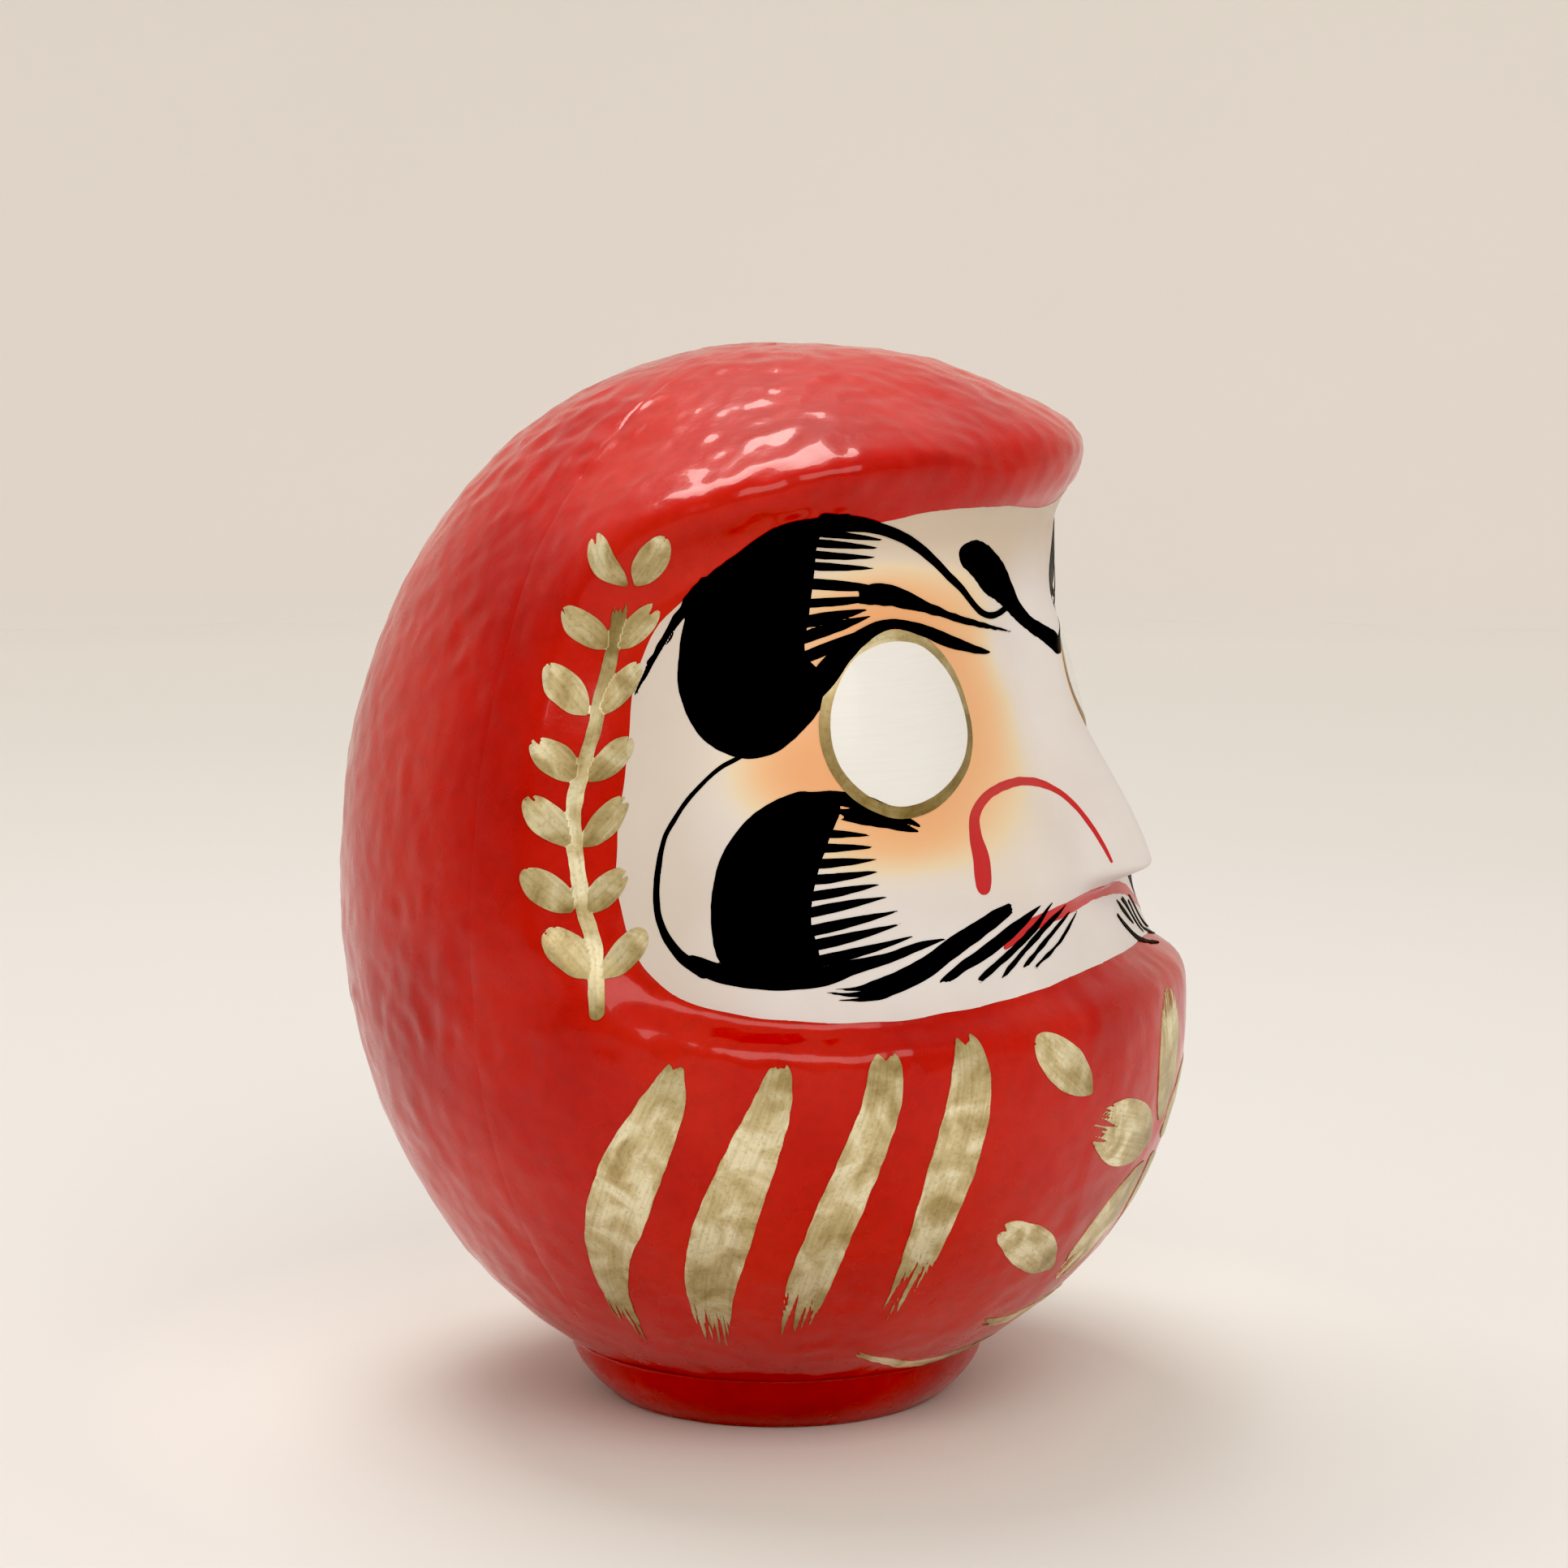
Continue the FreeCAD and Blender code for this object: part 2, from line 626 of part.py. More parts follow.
def hair_fan(root_azimuth, hairs, side):
    """Fan of fine strokes that leave one edge and come to a point."""
    strokes = []
    for root_height, tip_azimuth, tip_height, half_width in hairs:
        root = (root_azimuth, root_height, half_width)
        middle = ((root_azimuth + tip_azimuth) / 2, (root_height + tip_height) / 2, half_width)
        tip = (tip_azimuth, tip_height, 0.3)
        strokes.append(stroke([root, middle, tip], side=side, steps_per_span=3))
    return group(strokes)


def whiskers(side):
    """Thin strokes below the moustache, leaning out and down from the mouth."""
    return group([stroke(hair, side=side, steps_per_span=3) for hair in WHISKERS])


# ---- gold work on the lacquer ----
STRIPES = [
    [
        (82, 119, 2.5), (84.2, 107.5, 6.6), (88, 89, 10.5), (92.5, 72, 11), (97, 55, 7.5),
        (97.4, 40, 5.5), (97, 28, 3),
    ],
    [
        (69.4, 119.5, 2), (71, 106, 5.6), (74.5, 87, 8), (78, 68, 9.3), (80.5, 51, 7.5),
        (81.5, 31, 4),
    ],
    [
        (56, 120.5, 2), (57, 106, 5.5), (60, 87, 6.8), (62.8, 70, 7.2), (65.5, 51, 6.8),
        (67, 36, 3.5),
    ],
    [
        (45, 123, 2), (44.7, 108, 6.6), (46.2, 89, 7.6), (47.5, 74, 6.8), (49, 57, 5.3),
        (50, 43, 3),
    ],
]
SWEEP_LINES = [
    [
        (-55, 29.7, 0.5), (-42, 23.6, 1.2), (-25, 22.4, 1.3), (0, 23, 1.2), (25, 22.4, 1.3),
        (42, 23.6, 1.2), (55, 29.7, 0.5),
    ],
    [(-27, 33.6, 0.8), (-12, 31.6, 1.3), (6, 31.8, 1.3), (22, 34.5, 0.8)],
]
FLOWER_HEIGHT = 80.0
PETALS = 5
PETAL_REACHES = (9.0, 42.0)
PETAL_HALF_WIDTH = 8.0
# Leaves beside the flower: root and tip.
FLOWER_LEAVES = [((24, 104), (34, 121)), ((19, 50), (36, 68))]
LEAF_HALF_WIDTH = 5.0
SPRIG_HALF_WIDTH = 3.2
LEAF_HEIGHTS = [243, 226, 209, 192, 175, 158, 141]


def leaf(root, tip, half_width, layer=0):
    """Brushed leaf between two (azimuth, height) places."""
    points = []
    for share, width in ((0, 0.15), (0.3, 0.85), (0.6, 1), (1, 0.1)):
        azimuth = root[0] + (tip[0] - root[0]) * share
        z = root[1] + (tip[1] - root[1]) * share
        points.append((azimuth, z, half_width * width))
    return stroke(points, layer=layer)


def side_ornament(side):
    """Gold sprig down the band between the hood's edge and the white face."""
    leaves = []
    for k, z in enumerate(LEAF_HEIGHTS):
        middle = 96.5 - 4.5 * max(z - 215, 0) / 28 - 3.5 * max(160 - z, 0) / 20
        for way in (-1, 1):
            root = (side * (middle + way * 0.8), z)
            tip = (side * (middle + way * 5.4), z + 11.5 - 2 * (k % 2))
            leaves.append(leaf(root, tip, SPRIG_HALF_WIDTH))
    return group(leaves)


def belly_ornament():
    """Open gold flower with leaves on each side, brushed on the front of the belly."""
    petals = []
    for k in range(PETALS):
        turn = math.radians(90 + 360 * k / PETALS)
        root, tip = [
            (reach / MM_PER_DEGREE * math.cos(turn), FLOWER_HEIGHT + reach * math.sin(turn))
            for reach in PETAL_REACHES
        ]
        petals.append(leaf(root, tip, PETAL_HALF_WIDTH))
    for side in (-1, 1):
        for root, tip in FLOWER_LEAVES:
            petals.append(leaf((side * root[0], root[1]), (side * tip[0], tip[1]), LEAF_HALF_WIDTH))
    return group(petals)


def paired(name, maker):
    """A left and a right node: the doll's own left is +X."""
    return {name + "_right": maker(-1), name + "_left": maker(1)}


def build_nodes():
    nodes = {
        "shell_front": half_body(-PARTING_AZIMUTH, PARTING_AZIMUTH),
        "shell_rear": half_body(PARTING_AZIMUTH, 360 - PARTING_AZIMUTH),
        "crown_patch": crown_patch(),
        "foot_ring": foot_ring(),
        "clay_weight": clay_weight(),
        "bottom_paper": bottom_paper(),
        "face_paint": face_paint(),
        "mouth_line": stroke(MOUTH_LINE),
        "belly_ornament": belly_ornament(),
        "sweep_lines": group([stroke(line, layer=0) for line in SWEEP_LINES]),
    }
    nodes.update(paired("seam_strip", seam_strip))
    nodes.update(paired("eye_white", eye_white))
    nodes.update(paired("eye_rim", eye_rim))
    nodes.update(paired("eyebrow", lambda side: stroke(EYEBROW, side=side)))
    nodes.update(
        paired("eyebrow_hairs", lambda side: hair_fan(BROW_ROOT_AZIMUTH, BROW_HAIRS, side))
    )
    nodes.update(paired("brow_curl", lambda side: stroke(BROW_CURL, side=side)))
    nodes.update(paired("brow_stroke", lambda side: stroke(BROW_STROKE, side=side)))
    nodes.update(paired("eyelid_stroke", lambda side: stroke(EYELID_STROKE, side=side)))
    nodes.update(paired("forehead_mark", lambda side: stroke(FOREHEAD_MARK, side=side)))
    nodes.update(paired("cheek_line", lambda side: stroke(CHEEK_LINE, side=side)))
    nodes.update(paired("beard", lambda side: stroke(BEARD, side=side)))
    nodes.update(
        paired("beard_hairs", lambda side: hair_fan(BEARD_ROOT_AZIMUTH, BEARD_HAIRS, side))
    )
    nodes.update(paired("moustache", lambda side: stroke(MOUSTACHE, side=side)))
    nodes.update(paired("whiskers", whiskers))
    nodes.update(paired("nostril_line", lambda side: stroke(NOSTRIL_LINE, side=side)))
    nodes.update(
        paired("gold_stripes", lambda s: group([stroke(line, 0, s) for line in STRIPES]))
    )
    nodes.update(paired("side_ornament", side_ornament))
    return nodes


os.makedirs("parts", exist_ok=True)
for name, shape in build_nodes().items():
    shape.exportStep("parts/" + name + ".step")
    solids = len(shape.Solids)
    print(name, "solids", solids, "valid", shape.isValid(), "volume", round(shape.Volume, 1))
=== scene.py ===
import math

import bpy
import numpy as np
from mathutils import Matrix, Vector


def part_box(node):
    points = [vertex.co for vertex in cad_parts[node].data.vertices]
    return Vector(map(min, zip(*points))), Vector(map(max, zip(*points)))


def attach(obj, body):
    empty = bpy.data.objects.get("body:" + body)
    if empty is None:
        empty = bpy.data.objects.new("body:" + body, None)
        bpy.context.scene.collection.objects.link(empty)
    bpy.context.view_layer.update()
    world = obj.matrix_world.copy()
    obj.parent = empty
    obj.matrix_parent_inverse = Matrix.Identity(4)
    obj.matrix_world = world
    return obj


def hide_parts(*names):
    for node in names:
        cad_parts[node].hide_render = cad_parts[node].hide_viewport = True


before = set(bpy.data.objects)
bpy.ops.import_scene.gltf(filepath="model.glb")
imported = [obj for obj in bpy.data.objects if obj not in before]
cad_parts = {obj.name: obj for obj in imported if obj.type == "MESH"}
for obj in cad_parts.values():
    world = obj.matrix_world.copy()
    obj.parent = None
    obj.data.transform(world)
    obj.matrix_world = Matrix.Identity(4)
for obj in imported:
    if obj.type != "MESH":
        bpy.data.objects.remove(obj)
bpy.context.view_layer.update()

# Daruma doll.  The body's surface is a formula in millimetres: a place on it is given by
# its azimuth in degrees (0 at the front, -Y, positive towards +X) and its height, and
# every coat of paint is laid on that same surface.  Meshes are made in metres.
MM = 0.001


def highest(node):
    """Greatest x, y and z of a CAD part, in millimetres."""
    return [round(value / MM, 2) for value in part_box(node)[1]]


# ---- driving dimensions: those the frame gives, then the same values as in the CAD model ----
FOOT_TOP_RADIUS, _, FOOT_HEIGHT = highest("foot_ring")
CLAY_RADIUS = highest("clay_weight")[0]
FOOT_BORE = highest("bottom_paper")[0]
CROWN_HEIGHT = highest("shell_front")[2]
HEIGHT = CROWN_HEIGHT + 0.08
PAPER_THICKNESS = 2.8
PARTING_AZIMUTH = 110.0
FRONT_SECTION = (117.0, 112.0, 2.03, 2.8)
SIDE_SECTION = (127.0, 142.0, 2.0, 2.15)
BACK_SECTION = (123.5, 148.0, 2.0, 2.12)
FACE_MIDDLE = 197.0
HOOD_EDGE = (102.0, 81.0, 76.0, 3.3, 4.8, 7.0, 0.0)
FACE_PAINT_EDGE = (91.5, 64.0, 71.0, 3.4, 5.6, 8.5, 4.0)
CHIN_SPREAD = 45.0
BROW_SPREAD = 20.0

# Softness of the hood's edge: at the sides, under the chin and what the brim adds.
HOOD_EDGE_SOFTNESS = 0.07
LIP_SOFTNESS = 0.50
LIP_HEIGHT = 150.0
LIP_DEPTH = 18.0
BRIM_SOFTNESS = 0.08
BRIM_ROUNDING = 0.07
BRIM_SPREAD = 30.0

# The brim over the face, and the shoulder along the hood's edge beside it: how far each
# swells, how wide it is as a share of the hood's reach, and where it starts.
BRIM_SWELL = 7.5
BRIM_WIDTH = 0.12
BRIM_START = 225.0
BRIM_RISE = 40.0
SHOULDER_SWELL = 16.0
SHOULDER_WIDTH_OUT = 0.16
SHOULDER_WIDTH_IN = 0.5
SHOULDER_START = 215.0
SHOULDER_RISE = 50.0
SHOULDER_AZIMUTHS = (22.0, 62.0, 85.0, 125.0)
SIDE_RECESS = 12.0
LEVEL_HEIGHT = 236.0
LEVEL_SOFTNESS = 6.0

FACE_PROFILE = np.array([
    (100, 114), (118, 112), (126, 109), (134, 104.8), (142, 100.8), (150, 98), (158, 96.5),
    (172, 91), (188, 84.5), (206, 78.5), (222, 76), (236, 76.5), (250, 76.5), (257, 79),
    (263, 83), (275, 87), (300, 92),
], float)
# The nose: a ridge from the brow, half of it only from the tip's top down to its base.
NOSE_SWELL = 14.0
NOSE_BRIDGE_SHARE = 0.5
NOSE_HALF_WIDTH = 17.0
NOSE_NARROWING = 4.5
BRIDGE_TOP = 240.0
BRIDGE_RISE = 18.0
TIP_TOP = 214.0
TIP_LENGTH = 50.0
NOSE_BASE = 151.0
NOSE_UNDERSIDE = 8.0
WING_SWELL = 4.0
WING_PLACE = (19.0, 163.0)
WING_REACH = 13.0
EYE_AZIMUTH = 48.5
EYE_SWELL = 5.5
EYE_SWELL_PLACE = (50.0, 202.0)
EYE_SWELL_REACH = 26.0
# Brushwork is laid out flat: millimetres along the body per degree of azimuth.
MM_PER_DEGREE = 1.9


# ---- noise ----
LATTICE = np.random.default_rng(7).permutation(256)
GRADIENTS = np.random.default_rng(11).normal(size=(256, 3))
GRADIENTS /= np.linalg.norm(GRADIENTS, axis=1)[:, None]


def noise(points, wavelength, seed=0):
    """Smooth gradient noise, about -1 to 1, at points in millimetres."""
    p = np.asarray(points, float) / wavelength + 17.3 * seed
    cell = np.floor(p).astype(int)
    inside = p - cell
    ease = inside ** 3 * (inside * (inside * 6 - 15) + 10)
    total = np.zeros(p.shape[:-1])
    for corner in np.ndindex(2, 2, 2):
        c = np.array(corner)
        i = (cell + c) & 255
        pick = LATTICE[(LATTICE[(LATTICE[i[..., 0]] + i[..., 1]) & 255] + i[..., 2]) & 255]
        weight = np.prod(np.where(c == 1, ease, 1 - ease), axis=-1)
        total += weight * np.sum(GRADIENTS[pick] * (inside - c), axis=-1)
    return total * 1.6


def noise_flat(x, y, seed=0):
    """The same noise over two coordinates that are already in wavelengths."""
    x, y = np.broadcast_arrays(x, y)
    return noise(np.stack([x, y, np.full(x.shape, 0.5 + seed)], -1), 1.0, seed)


# ---- the body's surface ----
def bell(x):
    return np.exp(-x * x)


def ramp(x):
    x = np.clip(x, 0, 1)
    return x * x * (3 - 2 * x)


def section_radius(z, section):
    radius, widest, round_below, round_above = section
    share = (1 - (FOOT_TOP_RADIUS / radius) ** round_below) ** (1 / round_below)
    depth = (widest - FOOT_HEIGHT) / share
    drop = np.clip(widest - z, 0, None) / depth
    rise = np.clip(z - widest, 0, None) / (HEIGHT - widest)
    low = np.clip(1 - drop ** round_below, 0, None) ** (1 / round_below)
    high = np.clip(1 - rise ** round_above, 1e-9, None) ** (1 / round_above)
    return radius * np.where(z < widest, low, high)


def oval(azimuth, side, front, back):
    turn = np.radians(azimuth)
    along = np.where(np.cos(turn) > 0, front, back)
    return 1 / np.hypot(np.sin(turn) / side, np.cos(turn) / along)


def monotone_curve(points, x):
    xs, ys = points[:, 0], points[:, 1]
    steps = np.diff(ys) / np.diff(xs)
    before, after = steps[:-1], steps[1:]
    both = np.where(before * after > 0, before + after, 1.0)
    inner = np.where(before * after > 0, 2 * before * after / both, 0.0)
    slopes = np.concatenate([steps[:1], inner, steps[-1:]])
    x = np.clip(x, xs[0], xs[-1])
    i = np.clip(np.searchsorted(xs, x, side="right") - 1, 0, len(xs) - 2)
    span = xs[i + 1] - xs[i]
    t = (x - xs[i]) / span
    ends = ys[i] * (1 + 2 * t) * (1 - t) ** 2 + ys[i + 1] * t * t * (3 - 2 * t)
    return ends + span * (slopes[i] * t * (1 - t) ** 2 - slopes[i + 1] * t * t * (1 - t))


def outline_reach(azimuth, z, outline):
    """1 on an outline, less inside it, more outside."""
    half_azimuth, above, below, square_above, square_below, chin, brow = outline
    high = z > FACE_MIDDLE
    top = above - brow * bell(azimuth / BROW_SPREAD)
    reach = np.where(high, top, below - chin * bell(azimuth / CHIN_SPREAD))
    squareness = np.where(high, square_above, square_below)
    across = np.abs(azimuth) / half_azimuth
    upward = np.abs(z - FACE_MIDDLE) / reach
    return (across ** squareness + upward ** squareness) ** (1 / squareness)


def hooded_radius(azimuth, z):
    radius = oval(
        azimuth,
        section_radius(z, SIDE_SECTION),
        section_radius(z, FRONT_SECTION),
        section_radius(z, BACK_SECTION),
    )
    past_edge = outline_reach(azimuth, z, HOOD_EDGE) - 1
    forward = ramp((np.cos(np.radians(azimuth)) + 0.1) / 0.9)
    brim = BRIM_SWELL * bell(past_edge / BRIM_WIDTH) * ramp((z - BRIM_START) / BRIM_RISE) * forward
    start, full, fade, end = SHOULDER_AZIMUTHS
    side = np.abs(azimuth)
    sideways = ramp((side - start) / (full - start)) * (1 - ramp((side - fade) / (end - fade)))
    width = np.where(past_edge > 0, SHOULDER_WIDTH_OUT, SHOULDER_WIDTH_IN)
    shoulder = SHOULDER_SWELL * bell(past_edge / width) * sideways
    return radius + brim + shoulder * ramp((z - SHOULDER_START) / SHOULDER_RISE)


def face_radius(azimuth, z):
    past_level = np.log1p(np.exp((z - LEVEL_HEIGHT) / LEVEL_SOFTNESS))
    held_height = z - LEVEL_SOFTNESS * past_level
    side = section_radius(held_height, SIDE_SECTION) - SIDE_RECESS
    return oval(azimuth, side, monotone_curve(FACE_PROFILE, z), BACK_SECTION[0])


def sunk_share(azimuth, z):
    """0 outside the hood's edge, rising to 1 where the white face begins."""
    hood = outline_reach(azimuth, z, HOOD_EDGE)
    paint = outline_reach(azimuth, z, FACE_PAINT_EDGE)
    share = (1 - hood) / np.maximum(paint - hood, 1e-3)
    under_lip = ramp((LIP_HEIGHT - z) / LIP_DEPTH)
    softness = HOOD_EDGE_SOFTNESS + (LIP_SOFTNESS - HOOD_EDGE_SOFTNESS) * under_lip
    at_brim = BRIM_SOFTNESS + BRIM_ROUNDING * bell(azimuth / BRIM_SPREAD)
    softness = softness + at_brim * ramp((z - BRIM_START) / BRIM_RISE)
    share = np.minimum((share + np.hypot(share, softness)) / 2, 1.0)
    return share * (2 - share)


def features(azimuth, z, radius):
    tip = ramp((TIP_TOP - z) / TIP_LENGTH)
    bridge = ramp((BRIDGE_TOP - z) / BRIDGE_RISE)
    half_width = NOSE_HALF_WIDTH - NOSE_NARROWING * (1 - tip)
    ridge = bell(radius * np.sin(np.radians(azimuth)) / half_width)
    ridge = ridge * ramp((z - NOSE_BASE) / NOSE_UNDERSIDE)
    nose = NOSE_SWELL * ridge * (NOSE_BRIDGE_SHARE * bridge + (1 - NOSE_BRIDGE_SHARE) * tip)
    side = np.abs(azimuth)
    wing_azimuth, wing_height = WING_PLACE
    from_wing = np.hypot((side - wing_azimuth) * MM_PER_DEGREE, z - wing_height)
    eye_azimuth, eye_height = EYE_SWELL_PLACE
    from_eye = np.hypot((side - eye_azimuth) * MM_PER_DEGREE, z - eye_height)
    wing = WING_SWELL * bell(from_wing / WING_REACH)
    return nose + wing + EYE_SWELL * np.exp(-((from_eye / EYE_SWELL_REACH) ** 3))


def radius_at(azimuth, z):
    body = hooded_radius(azimuth, z)
    sunk = sunk_share(azimuth, z)
    face = np.minimum(face_radius(azimuth, z), body)
    radius = body * (1 - sunk) + face * sunk
    return radius + features(azimuth, z, radius) * sunk


def polar(azimuth, radius, z):
    turn = np.radians(azimuth)
    return np.stack([radius * np.sin(turn), -radius * np.cos(turn), z + 0 * turn], -1)


def wrapped(azimuth):
    return (np.asarray(azimuth, float) + 180) % 360 - 180


def relief(azimuth, z, points):
    """Height of the papier-mache's waves and wrinkles over the smooth form, in mm."""
    azimuth = wrapped(azimuth)
    sunk = sunk_share(azimuth, z)
    white = ramp((1.02 - outline_reach(azimuth, z, FACE_PAINT_EDGE)) / 0.06)
    rough = (1 - 0.75 * white) * (1 - 0.35 * sunk)
    rough *= 1 + 0.7 * ramp((z - 225) / 50) + 0.35 * ramp((np.abs(azimuth) - 95) / 30)
    waves = 0.36 * noise(points, 46, 1) + 0.16 * noise(points, 21, 2)
    folds = 0.23 * (0.55 - np.abs(noise(points, 13, 3)) * 1.4) + 0.15 * noise(points, 8.5, 4)
    crumple = 0.13 * noise(points, 5.2, 5)
    patchy = ramp(0.5 + 1.2 * noise(points, 32, 6))
    # Two rougher places: a patch low behind the face, and the lip under it.
    band = bell((z - 134 - 5 * noise(points, 30, 8)) / 11) * bell((np.abs(azimuth) - 119) / 13)
    lip = bell((z - 121) / 7) * ramp((np.abs(azimuth) - 25) / 25)
    scars = 0.28 * band * noise(points, 5.0, 9)
    scars += 0.55 * lip * noise(points, 6.0, 10)
    return waves * (1 - 0.5 * white) + (folds * (0.5 + patchy) + crumple) * rough + scars


def body_points(azimuth, z, outward=0.0, worked=True):
    """Points of the surface in mm, and their outward normals."""
    azimuth, z = np.broadcast_arrays(np.asarray(azimuth, float), np.asarray(z, float))
    bare = wrapped(azimuth)
    here = polar(azimuth, radius_at(bare, z), z)
    step = 0.15
    around = polar(azimuth + step, radius_at(wrapped(azimuth + step), z), z) - here
    upward = here - polar(azimuth, radius_at(bare, z - step), z - step)
    normal = np.cross(around, upward)
    normal /= np.linalg.norm(normal, axis=-1, keepdims=True)
    lift = np.asarray(outward, float) + (relief(bare, z, here) if worked else 0)
    return here + normal * np.asarray(lift)[..., None], normal


# ---- meshes ----
def new_object(name, vertices, faces, material, smooth=True):
    """A mesh object from points in mm; faces is a list of index lists or arrays."""
    mesh = bpy.data.meshes.new(name)
    sizes = np.concatenate([np.full(len(f), f.shape[1]) for f in faces])
    loops = np.concatenate([f.ravel() for f in faces])
    mesh.vertices.add(len(vertices))
    mesh.vertices.foreach_set("co", (np.asarray(vertices) * MM).astype(np.float32).ravel())
    mesh.loops.add(len(loops))
    mesh.loops.foreach_set("vertex_index", loops.astype(np.int32))
    mesh.polygons.add(len(sizes))
    starts = np.concatenate([[0], np.cumsum(sizes)[:-1]])
    mesh.polygons.foreach_set("loop_start", starts.astype(np.int32))
    mesh.update(calc_edges=True)
    mesh.validate()
    mesh.polygons.foreach_set("use_smooth", np.full(len(mesh.polygons), smooth))
    obj = bpy.data.objects.new(name, mesh)
    bpy.context.scene.collection.objects.link(obj)
    mesh.materials.append(material)
    return obj


def add_attribute(obj, name, values):
    kind = "FLOAT" if values.ndim == 1 else "FLOAT_VECTOR"
    layer = obj.data.attributes.new(name, kind, "POINT")
    key = "value" if values.ndim == 1 else "vector"
    layer.data.foreach_set(key, values.astype(np.float32).ravel())


def as_piece(obj, slot, *nodes):
    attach(obj, "root")
    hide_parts(*nodes)
    return obj


def grid_quads(rows, columns, first=0):
    """Quads of a grid of points stored row by row."""
    i, j = np.meshgrid(np.arange(rows - 1), np.arange(columns - 1), indexing="ij")
    a = first + i.ravel() * columns + j.ravel()
    return np.stack([a, a + 1, a + columns + 1, a + columns], -1)


def stitch(fine, coarse):
    """Triangles between a fine border and a coarse one with a quarter of its edges."""
    triangles = []
    for k in range(len(coarse) - 1):
        f = fine[4 * k:4 * k + 5]
        a, b = coarse[k], coarse[k + 1]
        triangles += [(f[0], a, f[1]), (f[1], a, f[2]), (f[2], a, b)]
        triangles += [(f[2], b, f[3]), (f[3], b, f[4])]
    return triangles


def body_half(name, first_azimuth, last_azimuth, columns, rows, material):
    """Hollow half of the body: a fine outer skin and a coarser inside."""
    azimuths = np.linspace(first_azimuth, last_azimuth, columns + 1)
    probe = np.linspace(0, 1, 2001)
    heights = FOOT_HEIGHT + (CROWN_HEIGHT - FOOT_HEIGHT) * np.sin(probe * math.pi / 2)
    radii = section_radius(heights, SIDE_SECTION)
    length = np.concatenate([[0], np.cumsum(np.hypot(np.diff(heights), np.diff(radii)))])
    z = np.interp(np.linspace(0, length[-1], rows + 1), length, heights)
    grid_a, grid_z = np.meshgrid(azimuths, z)
    sunk_edge = np.zeros(grid_a.shape)
    sunk_edge[:, [0, -1]] = -0.1
    skin, _ = body_points(grid_a, grid_z, sunk_edge)
    apex = np.array([0, 0, skin[-1, :, 2].mean() + 0.02])
    coarse_a, coarse_z = grid_a[::4, ::4], grid_z[::4, ::4]
    lining, _ = body_points(coarse_a, coarse_z, -PAPER_THICKNESS, worked=False)
    lining[0] = polar(coarse_a[0], FOOT_TOP_RADIUS - 5.0, FOOT_HEIGHT)
    inner_apex = np.array([0, 0, CROWN_HEIGHT - PAPER_THICKNESS])

    vertices = np.concatenate([skin.reshape(-1, 3), [apex], lining.reshape(-1, 3), [inner_apex]])
    apex_id, inner_apex_id = grid_a.size, len(vertices) - 1
    outer_ids = np.arange(grid_a.size).reshape(grid_a.shape)
    inner_ids = apex_id + 1 + np.arange(coarse_a.size).reshape(coarse_a.shape)
    quads = [grid_quads(*grid_a.shape)]
    quads.append(grid_quads(*coarse_a.shape, apex_id + 1)[:, ::-1])
    triangles = [(a, b, apex_id) for a, b in zip(outer_ids[-1], outer_ids[-1, 1:])]
    triangles += [(b, a, inner_apex_id) for a, b in zip(inner_ids[-1], inner_ids[-1, 1:])]
    triangles += stitch(outer_ids[0], inner_ids[0])
    triangles += stitch(outer_ids[:, 0][::-1], inner_ids[:, 0][::-1])
    triangles += stitch(outer_ids[:, -1], inner_ids[:, -1])
    outer, inner = outer_ids[-1], inner_ids[-1]
    triangles += [(outer[0], apex_id, inner[0]), (inner[0], apex_id, inner_apex_id)]
    triangles += [(outer[-1], inner[-1], apex_id), (inner[-1], inner_apex_id, apex_id)]
    return new_object(name, vertices, [np.concatenate(quads), np.array(triangles)], material)


# ---- brushwork, laid out flat in millimetres ----
def curve_through(points, per_span=16):
    """Catmull-Rom curve through rows of numbers."""
    p = np.asarray(points, float)
    p = np.concatenate([[2 * p[0] - p[1]], p, [2 * p[-1] - p[-2]]])
    t = np.linspace(0, 1, per_span, endpoint=False)[:, None]
    parts = []
    for a, b, c, d in zip(p, p[1:], p[2:], p[3:]):
        lift = 2 * a - 5 * b + 4 * c - d
        twist = 3 * b - a - 3 * c + d
        parts.append(0.5 * (2 * b + (c - a) * t + lift * t * t + twist * t ** 3))
    return np.concatenate(parts + [p[-2:-1]])


def laid_flat(points):
    p = np.array(points, float)
    p[:, 0] *= MM_PER_DEGREE
    return p


def from_segment(start, step, x, y):
    """How far along a segment its nearest point is, 0 to 1, and the distance to it."""
    px, py = x - start[0], y - start[1]
    share = (px * step[0] + py * step[1]) / max(float(step @ step), 1e-12)
    share = np.clip(share, 0, 1)
    return share, np.hypot(px - share * step[0], py - share * step[1])


